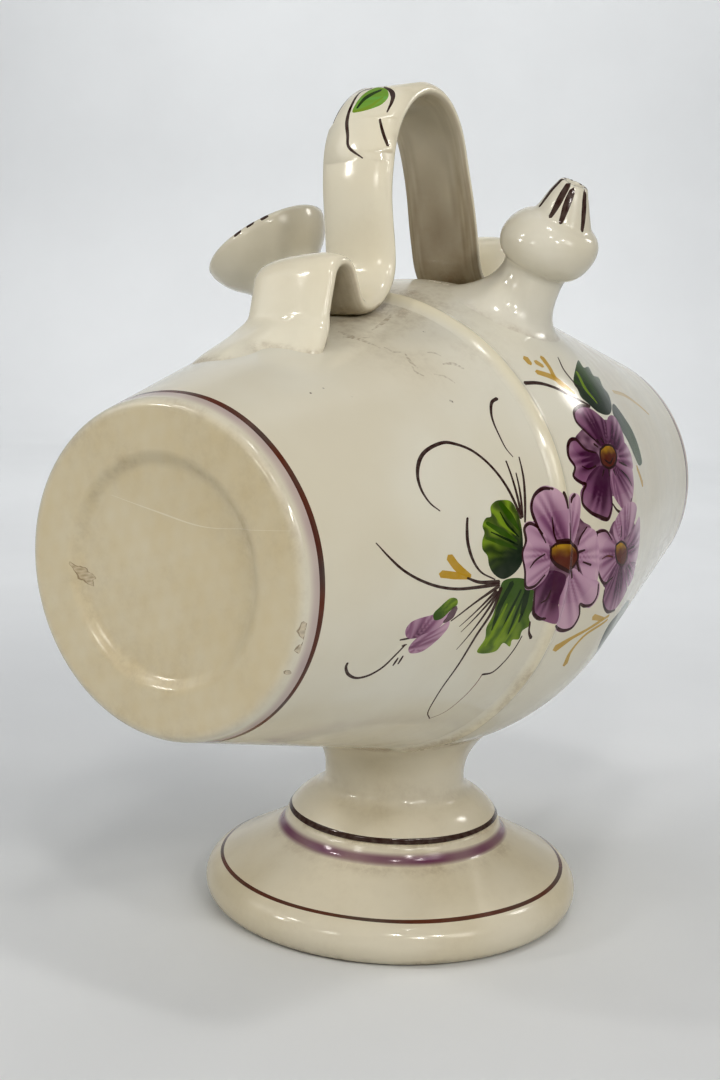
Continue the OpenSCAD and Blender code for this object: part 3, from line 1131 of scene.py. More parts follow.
@dataclass(frozen=True)
class FlowerSpray:
    """The spray of flowers on the barrel's side, read off the photograph in its pixels."""

    form: BarrelForm
    camera: PhotoCamera
    grain: float = 0.85
    leaf_reach: float = 28.0
    swell: float = 1.07
    ground_share: float = 0.64
    ground_spokes: int = 24
    spoke_spread: float = 38.0
    ground_reach: float = 0.66
    thin_line: float = 0.7
    tendrils: tuple[Pull, ...] = (
        Pull((440, 511, 430, 503, 421, 489, 417.5, 474, 420, 459, 427, 450, 444, 442.5, 457, 444.5, 470,
            449.5, 484, 459.5, 497, 473, 508, 489, 515, 503, 521, 518), (0.4, 0.9, 1.5, 1.4, 1.0, 0.9, 1.0,
            1.1)),
        Pull((497, 398.5, 492, 402, 491, 411, 493, 421, 499, 435, 506, 448.5, 513, 457), (1.3, 1.1, 0.8,
            0.6, 0.5, 0.3)), Pull((506, 461, 514, 484, 521, 514), (0.6, 0.9, 1.1)),
        Pull((516, 473, 520, 492, 522.5, 517), (0.5, 0.9, 1.0)),
        Pull((519, 457, 523.5, 478, 525, 500, 525, 522), (0.5, 0.9, 1.1, 0.8)),
        Pull((467.5, 518, 467, 527, 468, 543.5, 473, 560, 481, 572, 495, 579.5), (0.9, 1.3, 1.2, 0.9, 0.6,
            0.5)),
        Pull((376, 543, 389, 557, 402.5, 569.5, 419, 579.5, 438, 586.5, 457, 589, 476, 587.5, 499, 584),
            (0.4, 0.9, 1.0, 1.1, 1.2, 1.5)), Pull((467.5, 578, 478.5, 582, 499, 582), (0.8, 1.3, 1.6)),
        Pull((499, 586, 476, 602, 451, 621), (1.5, 0.8, 0.5)),
        Pull((496, 591, 476, 611.5, 459.5, 626.5), (1.3, 0.7, 0.3)),
        Pull((498, 592, 481, 611.5, 461, 632), (1.3, 0.7, 0.3)),
        Pull((499, 592, 481, 619.5, 456.5, 649.5), (1.4, 0.8, 0.3)),
        Pull((501, 588, 492, 611.5, 476, 636, 459.5, 663, 440.5, 690, 428, 712, 429.5, 718.5), (1.6, 1.1,
            0.9, 0.7, 0.5, 0.4)),
        Pull((429.5, 718.5, 443, 713, 462, 698.5, 476, 683.5, 482.5, 674), (0.4, 0.4, 0.5), Pigment.RUST,
            0.8), Pull((482.5, 674.5, 492, 672.5, 503, 663, 514, 649.5, 522, 636), (1.0, 0.7, 0.6, 0.5)),
        Pull((530, 622, 529, 632, 531, 638), (0.7, 0.8, 1.3)),
        Pull((524.5, 383, 538, 383, 554.5, 387.5, 571, 396, 590, 406), (1.5, 1.2, 1.0, 0.9)),
        Pull((558, 357.5, 564, 370, 576, 385, 580, 390), (0.5, 0.8, 0.6)),
        Pull((405, 645, 394.5, 656, 381, 668.5, 367, 676, 356, 678, 348, 674, 346, 667, 347.5, 663), (0.7,
            0.8, 1.0, 1.2, 1.2, 0.9)), Pull((400, 640, 411, 638), (0.6, 0.9, 0.6)),
        Pull((402, 646, 406.5, 644.5), (0.6, 0.9, 0.6)), Pull((393, 665.5, 398, 658), (0.6, 0.9, 0.6)),
        Pull((398, 664, 403, 656), (0.6, 0.9, 0.6)))
    sprigs: tuple[Pull, ...] = (
        Pull((449.5, 557, 457, 567, 470, 576.5), (2.8, 2.9, 1.6), Pigment.OCHRE),
        Pull((441.5, 574, 454, 575.5, 469, 577.5), (2.8, 2.8, 1.5), Pigment.OCHRE),
        Pull((525.5, 358, 530, 363.5), (2.5, 2.0), Pigment.OCHRE, 0.9),
        Pull((536, 362, 542.5, 366), (2.2, 1.8), Pigment.OCHRE, 0.85),
        Pull((537, 372, 554, 378, 571, 390), (2.0, 2.4, 1.2), Pigment.OCHRE, 0.9),
        Pull((542, 357.5, 549, 367, 557, 380.5, 574, 393), (2.2, 1.8, 2.2, 1.2), Pigment.OCHRE, 0.9),
        Pull((613, 391.5, 625, 395.5, 638.5, 405, 649, 414.5), (1.5, 2.0, 2.0, 1.2), Pigment.OCHRE, 0.6),
        Pull((637, 467.5, 642.5, 484), (2.5, 3.2), Pigment.OCHRE, 0.85),
        Pull((555.5, 648.5, 571, 638.5, 585.5, 630.5, 600.5, 621, 609, 615.5), (3.2, 1.5, 1.2, 1.5, 1.1),
            Pigment.OCHRE, 0.9),
        Pull((565, 664.5, 570.5, 652, 584, 636, 607.5, 619.5), (2.4, 1.2, 1.2, 1.0), Pigment.OCHRE, 0.9),
        Pull((593.5, 617, 603, 619), (2.2, 1.5), Pigment.OCHRE, 0.85))
    leaves: tuple[Leaf, ...] = (
        Leaf((501.5, 500, 511, 501.5, 518, 513.5, 521.5, 527, 523, 546, 522, 562.5, 514, 573.5, 503, 579,
            493.5, 573.5, 489, 565, 487.5, 556, 482.5, 549, 482.5, 540, 484.5, 533, 482.5, 526, 486, 518,
            491, 516.5, 490.5, 507, 495, 501.5), (523, 555), (493, 515), Pigment.PINE, Pigment.LIME,
            streaks=(Pull((519, 530, 509, 515, 500, 503), (0.6, 2.6, 1.6), Pigment.LEAF), Pull((516, 535,
            503, 523, 493, 511), (0.5, 2.0, 1.2), Pigment.LIME, 0.8), Pull((517, 541, 502, 532, 487, 523),
            (0.5, 2.2, 1.2), Pigment.LEAF), Pull((517, 549, 502, 543, 486, 538), (0.5, 1.8, 0.9),
            Pigment.LEAF, 0.8), Pull((519, 537, 507, 524, 500, 512), (0.4, 0.9, 0.4), Pigment.PINE),
            Pull((518, 545, 504, 538, 491, 532), (0.4, 0.9, 0.4), Pigment.PINE))),
        Leaf((503, 581.5, 524.5, 579, 530, 585.5, 535, 592.5, 533, 600, 533.5, 607.5, 529, 616, 530, 625,
            522, 631, 519, 639, 512, 640, 510, 646.5, 503, 643, 496, 651, 477, 652, 485, 638.5, 486.5,
            627.5, 492, 617, 497.5, 600.5), (522, 584), (482, 650), Pigment.LEAF, Pigment.LIME,
            streaks=(Pull((512, 583, 500, 606, 492, 630), (2.2, 2.4, 0.9), Pigment.PINE, 0.85), Pull((528,
            586, 525, 602, 519, 622), (2.6, 2.6, 0.8), Pigment.PINE, 0.9), Pull((521, 590, 511, 610, 500,
            634), (0.9, 1.3, 0.5), Pigment.PINE, 0.9), Pull((524, 594, 516, 614, 508, 634), (0.8, 1.2, 0.5),
            Pigment.PINE, 0.85), Pull((507, 604, 497, 624, 485, 646), (0.7, 1.6, 0.9), Pigment.LIME, 0.85),
            Pull((515, 606, 505, 626, 494, 645), (0.6, 1.4, 0.8), Pigment.LIME, 0.8), Pull((520, 614, 512,
            630, 505, 641), (0.5, 1.2, 0.6), Pigment.LIME, 0.7))),
        Leaf((579, 360.5, 583, 367, 589, 367.5, 593, 375, 599, 378, 603, 387, 608, 393.5, 611.5, 405, 609,
            414.5, 598, 412, 587, 402.5, 581, 397, 577.5, 389, 574, 384, 574, 375.5), (608, 414), (578,
            362), streaks=(Pull((597, 403, 585, 388, 577, 372), (0.8, 2.2, 1.4), Pigment.LIME, 0.85),
            Pull((601, 402, 591, 386, 581, 367), (0.6, 1.8, 1.2), Pigment.LEAF, 0.9))),
        Leaf((614, 404, 625, 418.5, 633, 432, 640, 451.5, 642, 462, 638.5, 465, 634.5, 456.5, 627.5, 440.5,
            619.5, 427, 613, 413.5), (614, 404), (640, 464), streaks=(Pull((620, 416, 630, 435, 638, 456),
            (0.8, 2.0, 1.0), Pigment.LEAF, 0.8),)),
        Leaf((627.5, 600.5, 619.5, 611.5, 608.5, 625, 600.5, 641, 595.5, 655, 602, 649.5, 611.5, 637, 622.5,
            622.5, 629, 607.5), (597, 654), (627, 602), streaks=(Pull((624, 608, 612, 626, 601, 646), (0.6,
            1.6, 0.8), Pigment.LEAF, 0.6),)))
    bud: tuple[Petal, ...] = (
        Petal((448, 611.5, 432, 615.5, 412, 622.5, 406.5, 630.5, 409, 637.5, 421.5, 636, 438, 627.5), 0.5),
        Petal((448, 622, 435, 630.5, 419, 637, 410, 647, 411, 652, 421.5, 651, 435, 641.5, 447, 628), 0.35))
    bud_heart: tuple[float, float] = (404, 650)
    cap: Leaf = Leaf((457, 599, 451, 598, 440, 607, 433.5, 614, 434.5, 620, 441, 619, 450, 611, 457.5, 604),
        (434, 618), (456, 600), Pigment.LEAF, Pigment.LIME, (Pull((455.5, 608, 449, 618, 444, 622), (2.2,
        3.2, 1.2), Pigment.PLUM, 0.9),))
    flowers: tuple[Flower, ...] = (
        Flower((607, 457), (
            Petal((600, 445, 590, 434, 579, 424, 574, 413.5, 577.5, 407, 587, 408, 598, 415, 606, 424, 609,
                440), 0.95),
            Petal((611, 443, 607.5, 427, 609, 417.5, 615.5, 418.5, 621, 429.5, 624, 443, 617, 449), 0.8),
            Petal((596.5, 454, 584.5, 448.5, 573.5, 439, 567.5, 446, 569.5, 459.5, 575, 467.5, 573.5, 476,
                581.5, 482.5, 592.5, 473, 599, 465), 0.9),
            Petal((599, 467.5, 590, 475.5, 585.5, 485, 581.5, 492, 583, 503, 591, 512.5, 607.5, 519, 611.5,
                508, 610, 486.5, 607.5, 470), 1.0),
            Petal((612, 468, 611.5, 486.5, 617, 500, 628, 511, 632, 497.5, 633, 481, 630.5, 465, 621, 458),
                0.6), Petal((619, 455, 624, 443, 630.5, 454, 632.5, 467, 623, 462), 0.55)),
            (601, 449.5, 606, 445.5, 612, 446.5, 616, 453, 615.5, 462, 611, 468, 605.5, 467, 601, 461), (
            Pull((589.5, 406.5, 580, 406, 574, 412, 576, 421, 587, 433, 598, 443), (1.0, 1.2, 1.0, 0.8,
                0.4)),
            Pull((596, 453, 585, 449, 575, 439, 569, 442, 568.5, 456, 575, 467, 573.5, 476, 582, 483, 586,
                484, 583, 492, 582.5, 503, 591, 512.5, 601, 517, 607.5, 519), (0.5, 0.9, 1.3, 1.1, 0.8, 1.2,
                0.8, 1.1, 1.3, 0.9)), Pull((612, 503, 618, 511, 627, 512, 632, 498), (0.6, 1.1, 1.1, 0.5)),
            Pull((601, 519, 608, 519, 612, 507), (0.8, 1.2, 0.5)),
            Pull((600, 450, 606, 445, 613, 447, 616.5, 455, 615, 464, 609, 468, 602.5, 464, 600, 455, 600.5,
                449), (0.7, 0.9, 0.8)), Pull((605, 460, 610, 463, 613, 458), (0.6, 0.9, 0.5)),
            Pull((596, 466, 588, 469, 582, 466), (0.7, 0.5, 0.3)),
            Pull((621, 470, 628, 478, 632, 486), (0.5, 0.8, 0.4)),
            Pull((619, 462, 627, 466), (0.5, 0.9, 0.4)), Pull((594, 444, 598, 447), (0.9, 0.6)),
            Pull((601, 438, 604, 443), (0.9, 0.6)), Pull((597, 440, 600.5, 445), (0.9, 0.6)),
            Pull((609, 470, 609.5, 476), (0.8, 0.5)), Pull((604, 470, 602.5, 476), (0.8, 0.5)),
            Pull((613.5, 470, 615.5, 475), (0.8, 0.5)))),
        Flower((622, 553), (
            Petal((615.5, 546, 606, 531.5, 598, 532.5, 596.5, 551.5, 598, 570.5, 604.5, 583, 613, 576,
                615.5, 562.5), 0.45),
            Petal((617, 541, 614, 527, 619.5, 513.5, 630.5, 503, 636, 508, 633, 524.5, 625, 538), 0.4),
            Petal((627.5, 543.5, 634.5, 527, 641, 516.5, 641, 535.5, 638.5, 557, 630.5, 562.5), 0.55),
            Petal((617, 565, 607.5, 581.5, 603.5, 600.5, 607.5, 611.5, 617, 608.5, 625, 595, 625, 579),
                0.85), Petal((626.5, 568, 627.5, 584.5, 633, 590, 637, 573.5, 634.5, 562.5), 0.6)),
            (616, 545, 621, 542, 626, 546.5, 627, 556, 624, 564, 618, 562, 615.5, 554), (
            Pull((590, 537, 597, 532.5, 606, 531, 612, 540), (0.7, 1.1, 0.8, 0.4)),
            Pull((597, 533, 596, 552, 598, 571, 604.5, 583.5, 613, 577), (0.9, 0.9, 0.8, 1.1, 0.6)),
            Pull((604.5, 590, 603, 601, 607, 611.5, 615, 610), (0.5, 0.9, 1.2, 0.7)),
            Pull((616, 545, 621, 541.5, 626.5, 547, 627, 557, 623.5, 564.5, 617.5, 562, 615.5, 553, 616,
                545), (0.7, 0.8, 0.7)), Pull((613, 557, 607, 556, 602, 559), (0.6, 0.6, 0.3)),
            Pull((621, 537, 621.5, 526), (0.7, 0.4)), Pull((629, 549, 635, 546), (0.7, 0.5)),
            Pull((628, 566, 631, 571), (0.7, 0.4)), Pull((621, 567, 621, 575), (0.7, 0.4))), reach=21.0),
        Flower((563, 556), (
            Petal((547.5, 542, 537, 524.5, 531, 508, 534, 496, 542, 488, 550.5, 488, 557, 494.5, 563, 508,
                564, 524.5, 561, 541), 0.42),
            Petal((565, 541, 564, 519, 566.5, 503, 573, 494.5, 579, 497.5, 580, 512, 577, 530, 572, 543),
                0.25),
            Petal((579, 543.5, 585.5, 530, 595, 532.5, 598, 546, 598, 570.5, 595, 584.5, 584.5, 576, 579,
                557), 0.2),
            Petal((573.5, 570.5, 584.5, 579, 598, 584.5, 596.5, 598, 588.5, 607.5, 580, 604.5, 579, 617,
                572, 627.5, 562.5, 630.5, 554.5, 625, 557, 600.5, 562.5, 579), 0.22),
            Petal((560, 576, 554.5, 600.5, 553, 619.5, 543.5, 619.5, 534, 614, 534, 600.5, 535.5, 589.5,
                546.5, 573.5), 1.0),
            Petal((549, 551.5, 541, 530, 530, 523, 524.5, 527, 526, 541, 522.5, 552, 524.5, 570.5, 526, 587,
                535.5, 585.5, 546.5, 573.5), 0.3)),
            (551.5, 547.5, 557, 543.5, 568, 544, 575.5, 547.5, 577.5, 557, 573.5, 566.5, 566.5, 570.5, 557,
                564, 551.5, 557), (
            Pull((546, 543, 537, 525, 531.5, 509, 534, 496, 543, 488.5, 552, 489), (0.4, 0.9, 1.3, 1.0, 1.4,
                0.9)), Pull((559, 493, 562, 500, 563.5, 508.5), (1.0, 1.5, 1.0)),
            Pull((575, 494.5, 572, 498, 571, 503), (1.1, 1.1, 0.6)),
            Pull((543, 534, 536, 526, 529, 523.5, 524.5, 528, 526, 541, 522.5, 553, 525, 571, 526, 587, 534,
                586.5, 545, 575), (0.5, 1.2, 1.1, 0.7, 0.9, 1.1, 0.6)),
            Pull((535, 589, 534, 601, 533.5, 613, 540, 619, 545, 618.5), (0.5, 0.8, 1.3, 1.5, 1.0)),
            Pull((552, 624, 562, 630.5, 572, 627.5, 579, 616, 580, 604, 584, 606, 592, 604, 597, 596, 598.5,
                584), (0.9, 1.4, 1.0, 0.7, 1.2, 0.9, 0.7)),
            Pull((541, 603, 547, 599, 551, 590), (0.5, 0.8, 0.4)),
            Pull((530, 568, 535, 561, 545, 554), (0.4, 0.8, 0.5)),
            Pull((552, 517, 554, 533, 556, 540), (0.4, 0.9, 0.6)), Pull((565, 523, 565.5, 540), (0.4, 0.9)),
            Pull((587, 527, 581, 536, 578, 545), (0.5, 0.8, 0.5)), Pull((583, 562, 591, 565), (0.5, 0.8)),
            Pull((551, 548, 558, 543, 569, 543, 576, 548, 578, 558, 573, 567, 566, 571, 556, 564.5, 551,
                557, 551, 548), (0.8, 1.2, 0.8, 1.3, 0.9)),
            Pull((556, 541, 563, 540.5, 569, 543), (0.8, 1.6, 0.8)), Pull((577, 563, 579, 571), (1.1, 0.7)),
            Pull((571, 571, 572, 578), (1.1, 0.7)), Pull((579, 552, 585, 550), (1.0, 0.6)))))

    def marks(self) -> list[Mark]:
        """Paints the whole spray.

        Returns:
            Its marks in the barrel's coordinates, the lowest layer first.
        """
        made = [self._line(line) for line in self.sprigs]
        for leaf in self.leaves:
            made.extend(self._leaf(leaf))
        made.extend(self._line(line) for line in self.tendrils)
        made.extend(self._petal(petal, self.bud_heart, self.leaf_reach) for petal in self.bud)
        made.extend(self._leaf(self.cap))
        for flower in self.flowers:
            made.append(self._ground(flower))
            made.extend(self._petal(petal, flower.heart, flower.reach) for petal in flower.petals)
            made.append(self._eye(flower.eye))
            made.extend(self._line(line) for line in flower.lines)
        return made

    def _laid(self, pixels: Pixels | Array, closed: bool = True) -> Array:
        """Lays a line of pixels on the barrel as a smooth line."""
        return smooth_path(self.form.struck(self.camera, pixels), PAINT_GAP, closed)

    @staticmethod
    def _held(spots: Array, root: Array, reach: float) -> Array:
        """Draws in what the picture's edge would stretch too far from a root.

        Args:
            spots: Points on the barrel.
            root: The root.
            reach: How far they may go.

        Returns:
            The points, drawn in.
        """
        way = spots - root
        size = np.maximum(np.linalg.norm(way, axis=1, keepdims=True), TINY)
        return root + way / size * np.where(size > reach, reach + 0.2 * (size - reach), size)

    def _line(self, line: Pull) -> Mark:
        """Paints one pull of the brush; a thin brown one runs into rust.

        Args:
            line: The pull.

        Returns:
            The mark.
        """
        rusty = line.pigment is Pigment.BROWN and max(line.widths) < self.thin_line
        tint = even_tint(line.pigment, line.opacity, Pigment.RUST if rusty else None)
        return brushed(self._laid(line.knots, False), line.widths, tint)

    def _ground(self, flower: Flower) -> Mark:
        """Paints the dark wash on which a flower's petals meet.

        Args:
            flower: The flower.

        Returns:
            The mark.
        """
        heart = np.array(flower.heart)
        way = np.concatenate([petal.outline for petal in flower.petals]).reshape(-1, 2) - heart
        turn = np.arctan2(way[:, 1], way[:, 0])
        outline = []
        for spoke in np.linspace(0, TURN, self.ground_spokes, endpoint=False):
            near = np.cos(turn - spoke) > math.cos(math.radians(self.spoke_spread))
            reach = self.ground_share * np.linalg.norm(way[near], axis=1).max()
            outline.append(heart + reach * np.array([math.cos(spoke), math.sin(spoke)]))
        root = self.form.struck(self.camera, flower.heart)[0]
        outline = self._held(self._laid(np.array(outline)), root, self.ground_reach * flower.reach)
        return Mark(outline, even_tint(Pigment.VIOLET, 0.97, Pigment.PLUM, 4.0), grain=self.grain)

    def _eye(self, pixels: Pixels) -> Mark:
        """Paints the eye of a flower, yellow above and amber below.

        Args:
            pixels: Its outline.

        Returns:
            The mark.
        """
        outline = self._laid(pixels)
        low = outline[:, 1].min()
        tall = outline[:, 1].max() - low

        def tint(spots: Array) -> Array:
            """Gives the eye's colours at points.

            Args:
                spots: The points.

            Returns:
                Red, green, blue and opacity in each row.
            """
            share = rise(low - 0.1 * tall, low + 0.5 * tall, spots[:, 1] + 0.8 * ripple(spots, 3.0))
            colour = Pigment.OCHRE.into(Pigment.AMBER, share[:, None])
            return np.column_stack([colour, np.full(len(spots), 0.97)])

        return Mark(outline, tint, grain=self.grain)

    @staticmethod
    def _seen_from(spots: Array, root: Array, axis: Array) -> tuple[Array, Array]:
        """Gives how far points lie from a root along an axis, and their angles beside it."""
        way = spots - root
        return way @ axis, np.arctan2(way[:, 1] * axis[0] - way[:, 0] * axis[1], way @ axis)

    def _petal(self, petal: Petal, heart: tuple[float, float], reach: float) -> Mark:
        """Paints a petal, with brushed streaks that darken towards the heart.

        Args:
            petal: The petal.
            heart: Pixel of the flower's heart.
            reach: How far from the heart the petal may go, in millimetres.

        Returns:
            The mark.
        """
        outline = np.reshape(petal.outline, (-1, 2))
        middle = outline.mean(axis=0)
        root = self.form.struck(self.camera, heart)[0]
        outline = self._laid(middle + self.swell * (outline - middle))
        outline = self._held(outline, root, reach)
        axis = outline.mean(axis=0) - root
        axis /= np.linalg.norm(axis)
        length = ((outline - root) @ axis).max()

        def tint(spots: Array) -> Array:
            """Gives the petal's colours at points.

            Args:
                spots: The points.

            Returns:
                Red, green, blue and opacity in each row.
            """
            out, side = self._seen_from(spots, root, axis)
            out = out / length
            streaks = 0.5 + 0.5 * np.sin(26.0 * side + 3.0 * out + 2.0 * np.sin(9.0 * side))
            inner = rise(1.05, 0.30, out) * (0.40 + 0.60 * hump(side, 0.0, 0.45))
            deep = petal.wash * inner * (0.75 + 0.75 * streaks) + 0.15 * streaks + 0.10 * petal.wash
            deep = np.clip(deep + 0.26 * petal.wash**4, 0.0, 1.0)[:, None]
            light = Pigment.LILAC.into(Pigment.VIOLET, rise(0.0, 0.55, deep))
            colour = between(light, Pigment.PLUM.linear, rise(0.45, 1.05, deep))
            return np.column_stack([colour, 0.94 + 0.05 * deep[:, 0]])

        return Mark(outline, tint, grain=self.grain)

    def _leaf(self, leaf: Leaf) -> list[Mark]:
        """Paints a leaf and its streaks.

        Args:
            leaf: The leaf.

        Returns:
            The marks, the lowest first.
        """
        root, tip = self.form.struck(self.camera, leaf.root + leaf.tip)
        outline = self._held(self._laid(leaf.outline), root, self.leaf_reach)
        tip = self._held(tip[None], root, self.leaf_reach)[0]
        length = float(np.linalg.norm(tip - root))
        axis = (tip - root) / length

        def tint(spots: Array) -> Array:
            """Gives the leaf's colours at points.

            Args:
                spots: The points.

            Returns:
                Red, green, blue and opacity in each row.
            """
            out, side = self._seen_from(spots, root, axis)
            streaks = 0.5 + 0.5 * np.sin(21.0 * side + 1.5 * ripple(spots, 6.0))
            share = rise(0.1, 0.9, out / length) * (0.20 + 0.80 * streaks)
            return np.column_stack([leaf.dark.into(leaf.light, share[:, None]), np.full(len(spots), 0.98)])

        marks = [Mark(outline, tint, grain=self.grain)]
        for line in leaf.streaks:
            path = self._held(self._laid(line.knots, False), root, self.leaf_reach)
            marks.append(brushed(path, line.widths, even_tint(line.pigment, line.opacity)))
        return marks


@dataclass
class BarrelShell(ClayPiece):
    """One half of the barrel, hollow, with its end and its part of the painting."""

    front: bool = True
    spray: Sequence[Mark] = ()
    bores: tuple[Triple, ...] = ()
    bore_sides: int = 32
    seam_x: float = -30.0
    row_gap: float = 1.8
    recess_r: float = 34.5
    recess_depth: float = 2.4
    ring_inset: float = 7.0
    ring_w: float = 1.8
    wash_w: float = 5.0
    wash_strength: float = 0.46
    film_strength: float = 0.64
    end_bulge: float = 0.25
    painted: tuple[float, float] = (25.0, 125.0)
    scratches: tuple[Pull, ...] = (
        Pull((405, 353.5, 411.5, 363, 418, 368), (0.4, 1.2, 0.4), Pigment.DUST, 0.44),
        Pull((412, 366, 416, 372, 424, 376), (0.3, 0.9, 0.4), Pigment.DUST, 0.39),
        Pull((443, 364, 452, 363.5, 463.5, 368.5), (0.6, 1.5, 0.8), Pigment.DUST, 0.50),
        Pull((427, 352.5, 435, 353, 441, 356), (0.4, 0.9, 0.3), Pigment.DUST, 0.39),
        Pull((384, 347, 394, 352, 402, 352), (0.3, 0.9, 0.4), Pigment.DUST, 0.39),
        Pull((434, 374, 446, 377, 455, 383), (0.3, 0.9, 0.3), Pigment.DUST, 0.33),
        Pull((339, 331.5, 352, 337, 364, 341, 380, 348), (0.8, 2.1, 1.4, 0.4), Pigment.DUST, 0.41),
        Pull((343, 337, 358, 338.5, 370, 337), (0.4, 1.5, 0.4), Pigment.DUST, 0.39),
        Pull((372, 330, 384, 322, 392, 314), (0.4, 1.8, 0.9), Pigment.DUST, 0.41),
        Pull((423.5, 331.5, 425, 332), (0.7, 0.7), Pigment.BROWN, 0.9),
        Pull((450, 400.5, 452.5, 402), (0.9, 0.8), Pigment.BROWN, 1.0),
        Pull((351, 396, 352.5, 397), (0.5, 0.5), Pigment.BROWN, 0.8),
        Pull((322.5, 388, 324, 388.5), (0.5, 0.5), Pigment.BROWN, 0.9))
    hairline: Pull = Pull(
        (106, 496, 150, 512, 199, 528, 245, 530, 290, 531), (0.2, 0.5, 0.4, 0.2), Pigment.FROST, 0.45)
    chips: tuple[Pixels, ...] = (
        (70, 564, 76, 567, 83, 572, 90, 580, 87, 586, 81, 584, 75, 576),
        (301, 623, 306, 628, 305, 638, 300, 641, 297, 634),
        (298, 645, 301, 648, 297, 656, 293, 653), (285, 671, 288, 673, 286, 676, 283, 674))
    chip_edge: Widths = (0.1, 0.6, 0.1, 0.3, 0.1, 0.7, 0.2, 0.1)

    @property
    def side(self) -> int:
        """-1 for the front half and 1 for the rear half."""
        return -1 if self.front else 1

    def skins(self) -> list[Skin]:
        """Lays out the outside, the end, the hollow, the cut at the seam and the bores.

        Returns:
            The skins.
        """
        form, cols = self.form, self.form.cols
        near, far = (-form.rim_x, self.seam_x) if self.front else (self.seam_x, form.rim_x)
        rows = np.linspace(near, far, max(40, round((far - near) / self.row_gap)))
        outer = Skin(
            form.spot, rows, cols, (0.0, 0.62), True,
            marks=self._wear() + self._rings() + [m for m in self.spray if m.touches(near, far)],
            holes=[self._bore_edge(bore, 0.0) for bore in self.bores],
            grime=self._grime, favour=(*form.around(np.array(self.painted)), 0.6))
        end = self._end_profile()

        def end_place(u: Array, v: Array) -> Array:
            """Gives points on the end."""
            reach, depth = end.at(u)
            return form.about(self.side * (form.half_len - depth), reach, v)

        cap = Skin(
            end_place, end.rows(1.2), cols, (0.63, 0.86), not self.front,
            marks=self._end_marks(end) if self.front else (), grime=self._end_grime, probe=(0.25, 0.5))
        deep = form.half_len - form.end_wall
        span = (-deep, self.seam_x) if self.front else (self.seam_x, deep)
        inner = Skin(
            form.under, np.linspace(*span, 24), cols, (0.87, 0.93), False,
            holes=[self._bore_edge(bore, form.wall) for bore in self.bores], grime=even_film(0.45))
        cut, wide = (float(form.radius(np.array(x), form.wall)) for x in (self.seam_x, self.side * deep))
        gap = float(form.radius(np.array(self.seam_x))) - cut
        joint = Skin(
            lambda u, v: form.spot(self.seam_x + 0 * u, v, -u), np.linspace(0.0, gap, 3), cols, (0.975, 1.0),
            self.front)
        floor = Skin(
            lambda u, v: form.about(self.side * deep, wide - u, v), np.linspace(0.0, wide, 8), cols,
            (0.935, 0.97), self.front)
        return [outer, cap, inner, joint, floor, *(self._bore_wall(bore) for bore in self.bores)]

    def _rings(self) -> list[Mark]:
        """Paints the lilac wash near the end and the brown ring beside it.

        Returns:
            The marks.
        """
        line = self.side * (self.form.half_len - self.ring_inset)
        wash = line + self.side * (self.ring_w + self.wash_w) / 2 * 0.72
        seed = 0.4 if self.front else 2.0
        middle = line + self.side * self.ring_w / 2
        lilac = soft_ring_tint(Pigment.VIOLET, middle, 1.7 * self.wash_w, self.wash_strength)
        brown = even_tint(Pigment.BROWN, 1.0, Pigment.RUST, 26.0)
        cols = self.form.cols
        return [
            ring_mark(wash, self.wash_w * 0.98, cols, lilac, 7, 0.10, seed + 1),
            ring_mark(line, self.ring_w, cols, brown, 0, 0.16, seed)]

    def _wear(self) -> list[Mark]:
        """Marks the scratches and specks on top of the front half.

        Returns:
            The marks.
        """
        marks = []
        for pull in self.scratches if self.front else ():
            path = smooth_path(self.form.struck(self.camera, pull.knots), MARK_GAP)
            marks.append(brushed(path, pull.widths, self._flecks(pull)))
        return marks

    @staticmethod
    def _flecks(pull: Pull) -> Tint:
        """Makes the dry, broken colour of a scratch."""
        return lambda spots: pull.pigment.coat(pull.opacity * rise(-0.5, 0.6, ripple(spots, 1.7, 0.4)))

    def _end_profile(self) -> Profile:
        """Draws the end, from the rim's rounding to the middle, as radius and depth.

        Returns:
            The profile.
        """
        form = self.form
        rim_c = float(form.radius(np.array(form.half_len))) + form.rim_round * (
            math.tan(form.taper) - 1 / math.cos(form.taper))
        rim = bow((rim_c, -form.rim_round), form.rim_round, math.degrees(form.taper), 90.0, 12)
        face = np.linspace(rim_c, 0.0, 60)[1:]
        depth = self.recess_depth * rise(self.recess_r + 1.5, self.recess_r - 4.0, face)
        bulge = self.end_bulge * rise(self.recess_r - 6.0, 0.0, face)
        return Profile.joined(rim * np.array([1.0, -1.0]), np.stack([face, depth - bulge], axis=1))

    def _end_marks(self, end: Profile) -> list[Mark]:
        """Marks the film, the hairline and the chips that the front end has.

        Args:
            end: Profile of the end.

        Returns:
            The marks.
        """
        hair = self.hairline
        crack = self._on_end(end, hair.knots, False)
        marks = [
            Mark.all_over(end.marks, self.form.cols, self._film(end)),
            brushed(crack, hair.widths, even_tint(hair.pigment, hair.opacity))]
        for pixels in self.chips:
            outline = self._on_end(end, pixels, True)
            turn = np.linspace(0, TURN, len(outline))
            middle = outline.mean(axis=0)
            ragged = 1 + 0.13 * np.sin(5 * turn + 1.0) + 0.10 * np.sin(9 * turn)
            outline = middle + (outline - middle) * ragged[:, None]
            edge = np.vstack([outline, outline[:2]])
            marks.append(Mark(outline, even_tint(Pigment.DUST, 0.55, Pigment.CLAY, 3.0), grain=0.5))
            marks.append(brushed(edge, self.chip_edge, even_tint(Pigment.DUST, 0.6, Pigment.STAIN_AND_SHADE, 1.5)))
        return marks

    def _film(self, end: Profile) -> Tint:
        """Makes the warm film that lies on the end inside its rim.

        Args:
            end: Profile of the end.

        Returns:
            A function from points to red, green, blue and opacity.
        """

